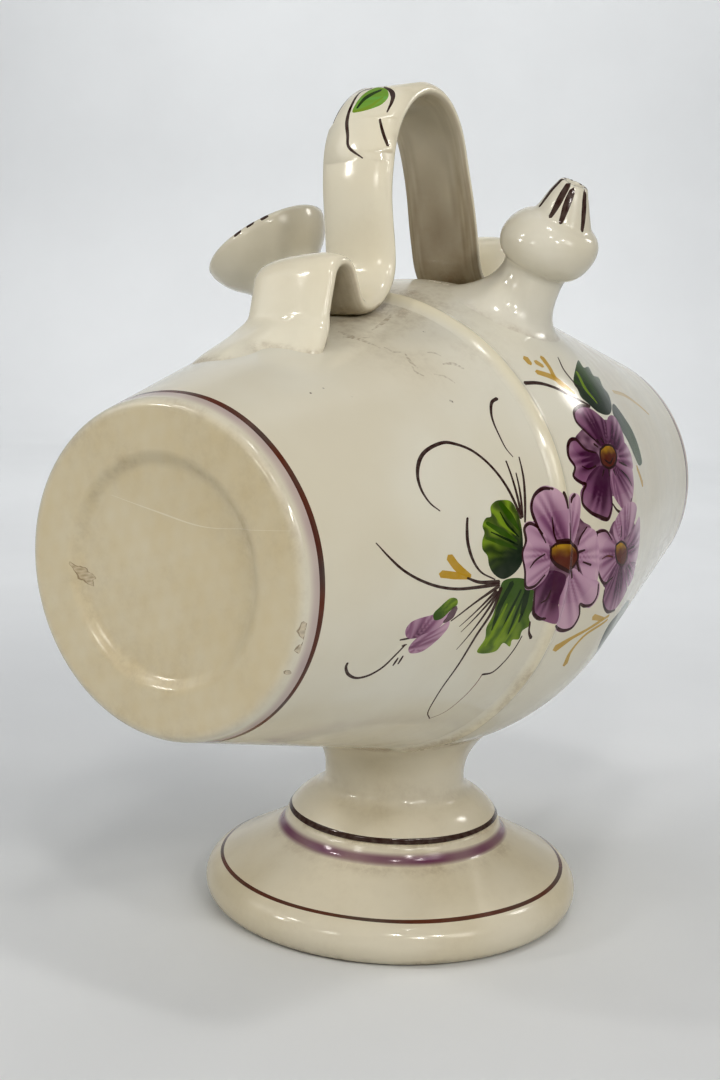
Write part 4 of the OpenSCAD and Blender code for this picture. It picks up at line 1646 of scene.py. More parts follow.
        def tint(spots: Array) -> Array:
            """Gives the film's colours at points.

            Args:
                spots: The points.

            Returns:
                Red, green, blue and opacity in each row.
            """
            reach = end.marks[-1] - spots[:, 0]
            turn = spots[:, 1] / self.form.chart_r
            face = np.stack([reach * np.cos(turn), reach * np.sin(turn)], axis=1)
            mottle = 0.10 * ripple(face, 17.0) + 0.10 * ripple(face, 6.0, 1.0)
            return Pigment.CREAM.coat(self.film_strength * rise(0.5, 5.0, spots[:, 0]) * (0.88 + mottle))

        return tint

    def _on_end(self, end: Profile, pixels: Pixels, closed: bool) -> Array:
        """Lays a line of pixels on the flat end.

        Args:
            end: Profile of the end.
            pixels: Pixels of the photograph.
            closed: Whether the line closes.

        Returns:
            Its points in the end's coordinates.
        """
        ways = self.camera.rays(pixels)
        start = np.array(self.camera.place)
        plane = self.side * self.form.half_len
        hits = start + ((plane - start[0]) / ways[:, 0])[:, None] * ways
        line = smooth_path(hits[:, 1:], MARK_GAP, closed)
        reach = np.hypot(line[:, 0], line[:, 1] - self.form.axis_z)
        order = np.argsort(end.points[:, 0])
        along = np.interp(reach, end.points[order, 0], end.marks[order])
        turn = np.arctan2(-line[:, 0], line[:, 1] - self.form.axis_z)
        return np.stack([along, self.form.chart_r * turn], axis=1)

    def _grime(self, points: Array) -> Array:
        """Gathers dirt in the joints and along the top of the barrel.

        Args:
            points: Points on the outside.

        Returns:
            The dirt at each point.
        """
        x, y = points[:, 0], points[:, 1]
        high = points[:, 2] - self.form.axis_z
        top = rise(40.0, 80.0, high) * hump(x, -48.0, 26.0) * 0.34
        top += rise(60.0, 80.0, high) * hump(y, -16.0, 16.0) * 0.25 * rise(-110.0, -60.0, x)
        foot = rise(-60.0, -70.0, high) * hump(np.hypot(x, y), 36.0, 2.0) * 0.9
        handle = rise(70.0, 79.0, high) * rise(20.0, 12.0, np.abs(y - 1.0)) * 0.25
        belly = rise(-20.0, -78.0, high) * 0.06
        seam = hump(x, self.seam_x, 6.0) * rise(-10.0, -60.0, high) * 0.25
        return np.clip(top + foot + handle + belly + seam, 0.0, 1.0)

    def _end_grime(self, points: Array) -> Array:
        """Spreads a thin film over the end, with more along its rim and at the edge of its recess."""
        reach = np.hypot(points[:, 1], points[:, 2] - self.form.axis_z)
        return 0.085 + hump(reach, 49.0, 2.0) * 0.14 + hump(reach, 33.0, 2.5) * 0.16

    def _bore_spot(self, bore: Triple, inset: float, turn: Array) -> Array:
        """Gives the edge of a bore on one of the wall's surfaces.

        Args:
            bore: Its place along the barrel, its angle from the top and its radius.
            inset: Depth of the surface under the outer one.
            turn: Angles round the bore.

        Returns:
            Place along and distance round for each angle.
        """
        x, angle, radius = bore
        along = x + radius * np.cos(turn)
        lean = np.arcsin(radius * np.sin(turn) / self.form.radius(along, inset))
        return np.stack([along, self.form.chart_r * (math.radians(angle) - lean)], axis=1)

    def _bore_edge(self, bore: Triple, inset: float) -> Array:
        """Gives the outline of a bore in the barrel's coordinates."""
        return self._bore_spot(bore, inset, np.linspace(0, TURN, self.bore_sides + 1)[:-1])

    def _bore_wall(self, bore: Triple) -> Skin:
        """Makes the wall of a bore.

        Args:
            bore: Its place along the barrel, its angle from the top and its radius.

        Returns:
            The skin.
        """

        def place(u: Array, v: Array) -> Array:
            """Gives points of the bore's wall."""
            top = self.form.spot(*self._bore_spot(bore, 0.0, v).T)
            return between(top, self.form.under(*self._bore_spot(bore, self.form.wall, v).T), u[:, None])

        return Skin(
            place, np.linspace(0, 1, 3), np.linspace(0, TURN, self.bore_sides + 1), (0.97, 0.974), True,
            probe=(0.02, 0.02), grime=even_film(0.6))


@dataclass
class SeamBand(ClayPiece):
    """The low coil of clay over the joint of the two halves, which stops on either side of the stem."""

    spray: Sequence[Mark] = ()
    middle: float = -30.0
    width: float = 9.0
    height: float = 1.7
    sunk: float = 0.7
    stem_gap: float = 11.0
    sides: int = 180
    painted: tuple[float, float] = (40.0, 115.0)

    @property
    def start(self) -> float:
        """Angle at which the band starts, in radians from the top."""
        return math.radians(self.stem_gap - 180.0)

    def skins(self) -> list[Skin]:
        """Lays out the band's top, its sunk underside, its edges and its ends.

        Returns:
            The skins.
        """
        form = self.form
        end = self.start + math.radians(360 - 2 * self.stem_gap)
        cols = form.chart_r * np.linspace(self.start, end, self.sides + 1)
        rows = np.linspace(self.middle - self.width / 2, self.middle + self.width / 2, 13)
        # A light butter-yellow wash along the band's top is a painted highlight.
        marks = [Mark.all_over(rows, cols, self._film)]
        marks.extend(m for m in self.spray if m.touches(rows[0], rows[-1]))
        top = Skin(self._place, rows, cols, (0.0, 0.8), True, marks=marks, grime=self._grime,
                   favour=(*form.around(np.array(self.painted)), 0.5))
        under = Skin(lambda x, v: form.spot(x, v, -self.sunk), rows, cols, (0.82, 0.88))
        edges = [
            Skin(lambda u, v, x=x: self._wall(u, x + 0 * u, v), STEP, cols, (0.9, 0.94), x > self.middle,
                 probe=(0.02, 0.2)) for x in (rows[0], rows[-1])]
        ends = [
            Skin(lambda u, x, v=v: self._wall(u, x, v + 0 * u), STEP, rows, (0.95, 1.0), v < 0,
                 probe=(0.02, 0.05)) for v in (cols[0], cols[-1])]
        return [top, under, *edges, *ends]

    def _wall(self, u: Array, x: Array, v: Array) -> Array:
        """Gives points between the band's top and its underside."""
        return between(self._place(x, v), self.form.spot(x, v, -self.sunk), u[:, None])

    def _place(self, x: Array, v: Array) -> Array:
        """Gives points on the band, which swells and strays a little as it was pressed on by hand.

        Args:
            x: Places along the barrel.
            v: Distances round it.

        Returns:
            A point in each row.
        """
        turn = v / self.form.chart_r
        stray = 0.35 * np.sin(3 * turn + 0.5) + 0.2 * np.sin(8 * turn)
        swell = 1 + 0.10 * np.sin(5 * turn + 1.0) + 0.06 * np.sin(13 * turn)
        fade = rise(0.0, 0.09, turn - self.start) * rise(0.0, 0.09, -self.start - turn)
        off = np.clip((x - self.middle) / (self.width / 2), -1.0, 1.0)
        arch = np.cos(np.clip(off - stray / self.width * (1 - off**2), -1, 1) * math.pi / 2) ** 2
        return self.form.spot(x, v, self.height * swell * arch * fade - 0.04)

    def _film(self, spots: Array) -> Array:
        """Gives a light butter-yellow wash along the middle of the band's top, a painted highlight."""
        off = 2 * np.abs(spots[:, 0] - self.middle) / self.width
        return Pigment.BUTTER_HIGHLIGHT.coat(0.42 * rise(0.95, 0.1, off))

    def _grime(self, points: Array) -> Array:
        """Wears the band low down, where it is brownish."""
        low, lift = rise(-5.0, -55.0, points[:, 2] - self.form.axis_z), self.form.lift(points)
        return np.clip(low * rise(0.1, 1.2, lift) * 0.55 + rise(1.0, 0.1, lift) * 0.12, 0, 1)


@dataclass
class TurnedPiece(ClayPiece):
    """A piece turned about an axis of its own."""

    chart_r: float = 40.0
    sides: int = 160

    @property
    def cols(self) -> Array:
        """Even distances right round the piece."""
        return self.chart_r * np.linspace(0, TURN, self.sides + 1)

    def stood(self, a: Array, b: Array, h: Array) -> Array:
        """Takes the piece's own coordinates to the jug's."""
        return np.stack([a, b, h], axis=-1)

    def turned(
        self, line: Profile, gap: float, strip: Strip, marks: Sequence[Mark] = (),
        grime: Grime | None = None, upward: bool = True,
    ) -> Skin:
        """Turns a profile about the piece's axis.

        Args:
            line: The profile.
            gap: Distance between its rows.
            strip: Its strip of the piece's map.
            marks: What is painted on it.
            grime: Where dirt gathers on it.
            upward: Whether the profile runs with the clay on its left.

        Returns:
            The skin.
        """

        def place(u: Array, v: Array) -> Array:
            """Gives points of the turned surface.

            Args:
                u: Distances along the profile.
                v: Distances round the axis.

            Returns:
                A point in each row.
            """
            reach, high = line.at(u)
            turn = v / self.chart_r
            return self.stood(reach * np.cos(turn), reach * np.sin(turn), high)

        rows = line.rows(gap)
        return Skin(place, rows, self.cols, strip, upward, marks=marks, grime=grime, probe=(0.3, 0.3))


@dataclass
class Foot(TurnedPiece):
    """Sizes that the plate and the stem of the pedestal share."""

    slot: Slot = Slot.FOOT
    bell_r: float = 38.0
    bell_z: float = 32.7
    bell_hollow_r: float = 31.0


@dataclass
class FootPlate(Foot):
    """The hollow plate with a rolled rim that stands on the table."""

    plate_r: float = 67.0
    roll_r: float = 8.0
    rest_flat: float = 0.6
    roll_top: float = 62.0
    ring_r: float = 52.0
    line_r: float = 61.4
    line_w: float = 1.5
    wash_z: float = 28.3
    wash_w: float = 5.4
    wash_spread: float = 5.6
    slope: Pairs = (
        (37.0, 32.7), (38.0, 31.9), (39.1, 29.4), (40.6, 27.0), (43.2, 25.2), (47.5, 22.7), (52.5, 19.9),
        (58.0, 16.9), (61.6, 15.05))
    hollow: Pairs = ((52.0, 4.2), (51.4, 10.6), (46.0, 15.4), (38.0, 19.8), (33.0, 22.6))

    def skins(self) -> list[Skin]:
        """Lays out the plate's top, its standing ring, its hollow and its seat for the stem.

        Returns:
            The skins.
        """
        roll = np.array([self.plate_r - self.roll_r, self.roll_r - self.rest_flat])
        low = math.degrees(math.asin(roll[1] / self.roll_r))
        rest_half = self.roll_r * math.cos(math.radians(low))
        slope = smooth_path(self.slope, 0.6)
        top = Profile.joined(slope, bow(roll, self.roll_r, self.roll_top, -low, 44))
        rest = Profile.joined([(roll[0] + rest_half, 0.0), (roll[0] - rest_half, 0.0)])
        edge = math.degrees(math.acos((self.ring_r - roll[0]) / self.roll_r))
        inside = Profile.joined(
            bow(roll, self.roll_r, -180.0 + low, -edge, 12), smooth_path(self.hollow, 1.0),
            [(self.bell_hollow_r, 24.2), (self.bell_hollow_r, self.bell_z)])
        seat = Profile.joined([(self.bell_hollow_r, self.bell_z)], slope[:1])
        line = top.where(lambda p: p[:, 0] >= self.line_r)
        wash = top.where(lambda p: p[:, 1] <= self.wash_z)
        mauve = soft_ring_tint(Pigment.MAUVE, wash, self.wash_spread, 1.0)
        brown = even_tint(Pigment.BROWN, 1.0, Pigment.RUST, 22.0)
        marks = [
            ring_mark(wash, self.wash_w, self.cols, mauve, 7, 0.12, 0.7),
            ring_mark(line, self.line_w, self.cols, brown, 0, 0.15, 1.9)]
        return [
            self.turned(top, 0.9, (0.0, 0.62), marks, self._grime, False),
            self.turned(rest, 2.0, (0.64, 0.68), (), even_film(0.7), False),
            self.turned(inside, 1.5, (0.7, 0.94), (), even_film(0.5), False),
            self.turned(seat, 2.0, (0.96, 1.0), upward=False)]

    @staticmethod
    def _grime(points: Array) -> Array:
        """Gathers dirt under the bell and along the bottom of the roll.

        Args:
            points: Points on the plate.

        Returns:
            The dirt at each point.
        """
        reach, z = np.hypot(points[:, 0], points[:, 1]), points[:, 2]
        corner = hump(reach, 42.5, 2.2) * rise(35.0, 30.0, z) * 0.28
        step = rise(38.9, 37.3, reach) * rise(30.0, 32.0, z) * 0.5
        return np.clip(corner + step + rise(4.0, 0.3, z) * 0.45 + 0.06, 0, 1)


@dataclass
class FootStem(Foot):
    """The stem: a bell that narrows to a waist and flares up to the barrel."""

    crown_r: float = 21.0
    edge: float = 31.0
    waist_r: float = 25.0
    waist_z: float = 48.0
    fillet: float = 6.0
    land_r: float = 36.0
    land_lean: float = 14.0
    land_pull: float = 8.5
    waist_pull: float = 8.0
    hollow_r: float = 18.0
    sole_z: float = 32.55
    line_at: float = 1.95
    line_w: float = 1.9
    sunk: float = 0.25

    def skins(self) -> list[Skin]:
        """Lays out the stem's bell, its flare, its hidden top, its hollow and its sole.

        Returns:
            The skins.
        """
        edge = math.radians(self.edge)
        bell = np.array([
            self.bell_r - self.crown_r * math.cos(edge), self.bell_z - self.crown_r * math.sin(edge)])
        out = self.waist_r + self.fillet - bell[0]
        climb = math.sqrt((self.crown_r + self.fillet) ** 2 - out**2)
        meet = math.degrees(math.atan2(climb, out))
        hem = (self.bell_r - 0.9, self.bell_z - 0.15)
        sole_edge = (self.bell_hollow_r, self.sole_z)
        body = Profile.joined(
            [hem, (self.bell_r - 0.25, self.bell_z + 0.05)],
            bow(bell, self.crown_r, self.edge + 1.2, meet, 40),
            bow((self.waist_r + self.fillet, bell[1] + climb), self.fillet, meet + 180.0, 180.0, 16),
            [(self.waist_r, self.waist_z)])
        hollow = Profile.joined(smooth_path(
            ((self.hollow_r, self.hollow_top), (self.hollow_r, 52.0), (19.2, 46.5), (25.0, 39.5),
             (30.2, 34.2), sole_edge), 1.0))
        brown = even_tint(Pigment.BROWN, 1.0)
        line = ring_mark(self.line_at, self.line_w, self.cols, brown, 0, 0.10, 0.3)
        flare = Skin(
            self._flare, np.linspace(0, 1, 26), self.cols, (0.4, 0.66), True, grime=self._grime,
            probe=(0.01, 0.2))
        under = Skin(self._under, np.linspace(0, 1, 8), self.cols, (0.68, 0.74), True, probe=(0.01, 0.2))
        return [
            self.turned(body, 0.9, (0.0, 0.39), [line], self._grime), flare, under,
            self.turned(hollow, 1.5, (0.76, 0.92), (), even_film(0.5)),
            self.turned(Profile.joined([sole_edge, hem]), 2.0, (0.94, 1.0))]

    @property
    def hollow_top(self) -> float:
        """Height at which the hollow ends under the barrel."""
        return self.form.axis_z - self.form.mid_r + 3.0

    def _ground(self, x: Array, y: Array) -> Array:
        """Gives the height of the barrel's underside."""
        return self.form.axis_z - np.sqrt(self.form.radius(x) ** 2 - y**2)

    def _flare(self, u: Array, v: Array) -> Array:
        """Gives points of the flare that runs from the waist up into the barrel.

        Args:
            u: Shares of the way up.
            v: Distances round the foot.

        Returns:
            A point in each row.
        """
        turn = v / self.chart_r
        cos, sin = np.cos(turn), np.sin(turn)
        land, step = self.land_r, 0.5
        top, back = (self._ground(r * cos, r * sin) + self.sunk for r in (land, land - step))
        slope = np.arctan2(top - back, step) + math.radians(self.land_lean)
        pull = self.land_pull
        r = swept(u, (self.waist_r, self.waist_r, land - pull * np.cos(slope), land))
        z = swept(u, (self.waist_z, self.waist_z + self.waist_pull, top - pull * np.sin(slope), top))
        return self.stood(r * cos, r * sin, z)

    def _under(self, u: Array, v: Array) -> Array:
        """Gives points of the stem's hidden top, which lies just under the barrel's skin.

        Args:
            u: Shares of the way in.
            v: Distances round the foot.

        Returns:
            A point in each row.
        """
        turn = v / self.chart_r
        r = between(self.land_r, self.hollow_r, u)
        x, y = r * np.cos(turn), r * np.sin(turn)
        ground = self._ground(x, y) + self.sunk + 0.9 * rise(0, 0.2, u)
        return self.stood(x, y, between(ground, self.hollow_top, rise(0.6, 1.0, u)))

    def _grime(self, points: Array) -> Array:
        """Gathers dirt where the flare meets the barrel and in the waist."""
        joint = rise(1.6, 0.2, self._ground(points[:, 0], points[:, 1]) - points[:, 2]) * 0.85
        return np.clip(joint + hump(points[:, 2], 45.0, 5.0) * 0.14 + 0.05, 0, 1)


@dataclass
class StrapHandle(ClayPiece):
    """The ribbon of clay that makes a small arch, a trough, the tall arch and the same again."""

    slot: Slot = Slot.HANDLE
    width: float = 26.5
    thick: float = 5.0
    edge: float = 5.0
    crown: float = 2.4
    middle_x: float = -8.0
    lean: float = 4.5
    arch_rise: float = 63.0
    arch_r: float = 22.5
    arch_splay: float = 9.0
    trough_r: float = 16.0
    turn_r: float = 6.0
    small_rise: float = 19.0
    small_r: float = 5.7
    inner_splay: float = 23.0
    outer_splay: float = 17.0
    pad_r: float = 9.0
    pad_dive: float = 20.0
    pad_flare: float = 3.0
    pad_spread: float = 6.5
    pad_groove: float = 1.0
    pad_notch: float = 3.4
    pad_tongue: float = 3.2
    doming: float = 1.5
    wobble: float = 0.35
    front_widening: float = 3.8
    front_bulge: float = 5.2
    rear_bulge: float = 3.4
    top_lift: float = 1.4
    peak_drop: float = 1.6
    peak_tilt: float = 1.3
    sunk: float = 0.6
    seat: float = 0.8
    sides: int = 64
    row_gap: float = 0.9
    leaf: Pixels = (
        352, 112, 356, 103, 364, 94, 375, 88, 386, 89, 388, 97, 382, 104, 371, 109, 360, 113)
    leaf_light: Pull = Pull((356, 111, 369, 106, 383, 97), (0.6, 1.4, 0.8), Pigment.LIME, 0.8)
    leaf_dark: Pull = Pull((357, 108, 366, 98, 381, 90), (0.8, 2.2, 1.2), Pigment.LEAF)
    curls: tuple[Pull, ...] = (
        Pull((372, 88, 361, 92, 352, 105, 347, 121, 347.5, 135, 352, 147, 362, 158),
             (0.5, 0.9, 1.1, 1.3, 1.1, 0.8, 0.4)),
        Pull((384, 87, 391, 91, 393, 97, 391, 104, 387, 112), (0.5, 1.1, 1.5, 1.1, 0.5)),
        Pull((380, 119, 383, 132, 388, 146), (0.7, 0.9, 0.8)))

    def __post_init__(self) -> None:
        """Draws the strap's middle line and finds the top of its small front arch."""
        front, rear = self._half(-1), self._half(1)
        line = np.vstack([front[::-1] * np.array([-1.0, 1.0, -1.0, 1.0]), rear[1:]])
        along = walked(line[:, :2])
        along = along - along[len(front) - 1]
        keep = np.concatenate([[True], np.diff(along) > 1e-6])
        self._line, self._along = self._eased(line[keep], along[keep])
        ahead = self._line[:, 0] < -self._trough(-1)[0] - 5
        self._peak = self._along[np.argmax(np.where(ahead, self._line[:, 1], 0))]

    def _trough(self, side: int) -> tuple[float, float]:
        """Gives the lowest point of a trough.

        Args:
            side: -1 towards the front end and 1 towards the rear end.

        Returns:
            Its distance from the handle's middle, and the strap's height there above the axis.
        """
        taper, splay = self.form.taper, math.radians(self.arch_splay)
        lift = self.thick / 2 - self.seat
        arch_mid = self.arch_r - self.thick / 2
        level = (self.form.mid_r - side * self.middle_x * math.sin(taper)) / math.cos(taper) + lift
        leg_top = self.form.mid_r + self.arch_rise - self.arch_r + arch_mid * math.sin(splay)
        drop = self.trough_r * (1 - math.sin(splay))
        run = (arch_mid + self.trough_r) * math.cos(splay) + math.tan(splay) * (leg_top - drop - level)
        x = run / (1 - math.tan(splay) * math.tan(taper))
        return x, float(self.form.radius(np.array(self.middle_x + side * x))) + lift

    def _half(self, side: int) -> Array:
        """Draws half of the strap's middle line, from the top of the tall arch.

        Args:
            side: -1 towards the front end and 1 towards the rear end.

        Returns:
            Rows of distance out, height, heading in degrees and press.
        """
        arch_mid = self.arch_r - self.thick / 2
        leans = (self.arch_splay, self.inner_splay, self.outer_splay)
        splay, inner, outer = (math.radians(lean) for lean in leans)
        top_z = self.form.mid_r + self.arch_rise - self.arch_r
        x, seat_z = self._trough(side)
        lift = self.thick / 2 - self.seat
        peak_z = seat_z - lift + self.small_rise - self.thick / 2 - self.small_r
        drop = self.trough_r * (1 - math.sin(splay))
        leg = (top_z + arch_mid * math.sin(splay) - seat_z - drop) / math.cos(splay)
        climb = peak_z + self.small_r * math.sin(inner) - seat_z - self.turn_r * (1 - math.sin(inner))
        peak_x = x + (self.turn_r + self.small_r) * math.cos(inner) + climb * math.tan(inner)
        ground_x = self.middle_x + side * (peak_x + self.small_r + self.pad_r)
        ground = float(self.form.radius(np.array(ground_x))) + self.thick / 2
        heading = 90 - math.degrees(self.form.taper) - self.pad_dive
        bend = self.pad_r * (math.sin(math.radians(heading)) - math.sin(outer))
        fall = peak_z + self.small_r * math.sin(outer) - ground - bend
        stretches = (
            (arch_mid, self.arch_splay - 90, 0.0),
            (leg, 0.0, 0.0),
            (self.trough_r, 90 - self.arch_splay, 0.0),
            (self.turn_r, 90 - self.inner_splay, 0.0),
            (climb / math.cos(inner), 0.0, 0.0),
            (self.small_r, self.inner_splay + self.outer_splay - 180, 0.0),
            (fall / math.cos(outer), 0.0, 0.0),
            (self.pad_r, heading - self.outer_splay, 0.5),
            (2 * self.thick / math.sin(math.radians(self.pad_dive)), 0.0, 1.0))
        spot = np.array([0.0, top_z + arch_mid, 0.0, 0.0])
        rows = [spot]
        for size, turn, press in stretches:
            count = max(2, math.ceil(abs(turn) / 2.5), math.ceil(size / 1.5) if not turn else 0)
            rows.extend(self._onward(spot, size, turn, press, k / count) for k in range(1, count + 1))
            spot = rows[-1]
        return np.array(rows)

    @staticmethod
    def _onward(spot: Array, size: float, turn: float, press: float, share: float) -> Array:
        """Goes a share of a straight or bent stretch onward.

        Args:
            spot: Distance out, height, heading and press at its start.
            size: Length of a straight stretch, or radius of a bent one.
            turn: Its bend to the left, in degrees.
            press: Press at its end.
            share: Share of the stretch.

        Returns:
            Distance out, height, heading and press reached.
        """
        a = math.radians(spot[2])
        b = a + math.radians(turn * share)
        out, up = share * size * math.cos(a), share * size * math.sin(a)
        if turn:
            way = math.copysign(size, turn)
            out, up = way * (math.sin(b) - math.sin(a)), way * (math.cos(a) - math.cos(b))
        return np.array([spot[0] + out, spot[1] + up, math.degrees(b), between(spot[3], press, share)])

    def _eased(self, line: Array, along: Array) -> tuple[Array, Array]:
        """Eases the tall arch's bends into its legs, as soft clay does.

        Args:
            line: Rows of distance along the barrel, height, heading and press.
            along: Distance of each row along the strap.

        Returns:
            Both, at even steps.
        """
        even = np.linspace(along[0], along[-1], round((along[-1] - along[0]) / self.row_gap))
        raw = np.column_stack([np.interp(even, along, line[:, k]) for k in range(4)])
        tall = rise(92.0, 72.0, np.abs(even))
        soft = np.zeros_like(raw)
        for reach, share in ((4.5, tall), (1.2, 1 - tall)):
            weight = hump(even[:, None] - even[None, :], 0.0, reach)
            weight /= weight.sum(axis=1, keepdims=True)
            soft += share[:, None] * (weight @ raw)
        ends = rise(0.0, 6.0, even - even[0]) * rise(0.0, 6.0, even[-1] - even)
        return between(raw, soft, ends[:, None]), even

    def skins(self) -> list[Skin]:
        """Lays out the strap's outer and inner faces and its two hidden ends.

        Returns:
            The skins.
        """
        rows, cols = self._along, np.linspace(0, TURN, self.sides + 1)
        half = self.sides // 2
        outer = Skin(
            self._place, rows, cols[:half + 1], (0.0, 0.62), True, grime=self._grime, probe=(0.4, 0.02))
        outer.marks = self._paint(outer)
        # The inner face is given painted shade, most on the far leg and low down: a brown wash with some
        # stain, and grime that also holds dirt where it meets the barrel.
        inner = Skin(
            self._place, rows, cols[half:], (0.64, 0.95), True,
            [Mark.all_over(rows, cols[half:], self._inner_shade_and_stain)], grime=self._inner_darkening, probe=(0.4, 0.02))
        return [
            outer, inner, self._cap(rows[0], cols, (0.96, 0.975), False),
            self._cap(rows[-1], cols, (0.985, 1.0), True)]

    def _place(self, u: Array, v: Array) -> Array:
        """Gives points on the strap.

        Args:
            u: Distances along the middle line from the top of the tall arch.
            v: Angles round the section.

        Returns:
            A point in each row.
        """
        form = self.form
        x, z, heading, press = (np.interp(u, self._along, self._line[:, k]) for k in range(4))
        tilt = np.radians(heading)
        cos, sin = np.cos(v), np.sin(v)
        half = self.width / 2 + self.pad_flare * press
        half = half + self.wobble * np.sin(u / 23.0) * np.sin(u / 9.1 + 1.0)
        across = half * np.sign(cos) * np.abs(cos) ** (2 / self.edge)
        proud = self.thick / 2 * np.sign(sin) * np.abs(sin) ** (2 / self.crown)
        bow_in = press / (2 * form.radius(self.middle_x + x)) * across**2
        share = across / half
        inward = np.maximum(share, 0.0)
        widened = self.front_widening * rise(self._peak + 30.0, self._peak + 6.0, u) * inward
        across = across + self.pad_spread * press**1.5 * inward**2 + widened
        groove = self.pad_groove * hump(share, -0.05, 0.20) * rise(0.10, 0.50, press) * (sin > 0)
        notch = self.pad_notch * rise(0.45, 0.72, press) * rise(0.12, -0.16, share)
        tongue = self.pad_tongue * rise(0.50, 0.85, press) * rise(-0.02, 0.45, share)
        proud = proud - bow_in - groove - notch + tongue + self.doming * (1 - share**2) * (sin > 0)
        ahead = self.front_bulge * rise(-5.0, -34.0, u) * rise(-72.0, -38.0, u)
        behind = self.rear_bulge * rise(8.0, 48.0, u) * rise(84.0, 60.0, u)
        x = self.middle_x + (x - ahead + behind - proud * np.sin(tilt))
        dip = hump(u, self._peak, 15.0) * (self.peak_drop + self.peak_tilt * share)
        z = z + self.top_lift * rise(34.0, 8.0, np.abs(u)) - dip
        lean = math.radians(-self.lean)
        pivot = float(form.radius(np.array(self.middle_x + self._trough(1)[0])))
        high = z + proud * np.cos(tilt) - pivot
        y = across * math.cos(lean) - high * math.sin(lean)
        up = across * math.sin(lean) + high * math.cos(lean) + pivot
        reach = np.hypot(y, up)
        grow = np.maximum(form.radius(x) - self.sunk, reach) / reach
        return np.stack([x, y * grow, form.axis_z + up * grow], axis=-1)

    def _cap(self, u: float, cols: Array, strip: Strip, last: bool) -> Skin:
        """Closes an end of the strap, under the barrel's skin.

        Args:
            u: Distance of the end along the strap.
            cols: Angles right round the section.
            strip: Its strip of the piece's map.
            last: Whether it is the rear end.

        Returns:
            The skin.
        """
        middle = self._place(np.full(len(cols), u), cols)[:-1].mean(axis=0)
        return Skin(
            lambda share, v: between(self._place(u + 0 * v, v), middle, share[:, None]), STEP, cols, strip,
            last, probe=(0.02, 0.02))

    def _paint(self, body: Skin) -> list[Mark]:
        """Paints the leaf and the curls on the top of the tall arch.

        Args:
            body: The strap's skin.

        Returns:
            The marks.
        """
        rows = np.arange(-62.0, 25.0, 0.25)
        cols = np.linspace(0.12, math.pi - 0.12, 200)

        def laid(pixels: Pixels, closed: bool = False) -> Array:
            """Finds a line of pixels on the strap, as millimetres along and across.

            Args:
                pixels: Pixels of the photograph.
                closed: Whether the line closes.

            Returns:
                Its points.
            """
            spots = self.camera.found(body, rows, cols, pixels)
            cos = np.cos(spots[:, 1])
            across = self.width / 2 * np.sign(cos) * np.abs(cos) ** (2 / self.edge)
            return smooth_path(np.column_stack([spots[:, 0], across]), MARK_GAP, closed)

        def mapped(line: Array) -> Array:
            """Takes millimetres along and across to the skin's coordinates.

            Args:
                line: Points of a line.

            Returns:
                The same points in the skin's coordinates.
            """
            share = np.clip(line[:, 1] / (self.width / 2), -0.999, 0.999)
            turn = np.arccos(np.sign(share) * np.abs(share) ** (self.edge / 2))
            return np.column_stack([line[:, 0], turn])

        marks = [Mark(mapped(laid(self.leaf, True)), even_tint(Pigment.SPRING, 1.0, Pigment.LIME, 1.6))]
        for pull in (self.leaf_light, self.leaf_dark, *self.curls):
            other = Pigment.PINE if pull is self.leaf_dark else None
            tint = even_tint(pull.pigment, pull.opacity, other)
            marks.append(brushed(laid(pull.knots), pull.widths, tint, mapped))
        rim = np.column_stack([np.linspace(-22.0, 20.0, 24), 11.4 - 0.4 * np.cos(np.linspace(0, 3, 24))])
        marks.append(brushed(rim, (0.3, 0.7, 0.9, 0.7, 0.3), even_tint(Pigment.BROWN, 1.0), mapped))
        return marks

    def _grime(self, points: Array) -> Array:
        """Gathers dirt where the strap meets the barrel."""
        return np.clip(rise(1.4, 0.1, self.form.lift(points)) * 0.55 + 0.03, 0, 1)

    @staticmethod
    def _inner_shade_and_stain(spots: Array) -> Array:
        """Gives the brown wash on the strap's inner face: painted shade with some stain, strongest on the
        far leg and mid-face.

        Args:
            spots: The points.

        Returns:
            Red, green, blue and opacity in each row.
        """
        # Painted shade, strongest on the far leg and mid-face, with some stain.
        strength = 0.45 + 0.30 * rise(10.0, 60.0, spots[:, 0])
        strength = strength * rise(0.0, 0.35, np.abs(np.sin(spots[:, 1])))
        return Pigment.STAIN_AND_SHADE.coat(strength * (0.88 + 0.12 * ripple(spots * np.array([0.15, 12.0]), 3.0)))

    def _inner_darkening(self, points: Array) -> Array:
        """Darkens the strap's inner face with painted shade, most of all low down, and with dirt where it
        meets the barrel.
        """
        # Painted shade, darker low down, and dirt where the strap meets the barrel.
        lift = self.form.lift(points)
        return np.clip(rise(60.0, 5.0, lift) * 0.12 + rise(6.0, 0.1, lift) * 0.5 + 0.03, 0, 1)


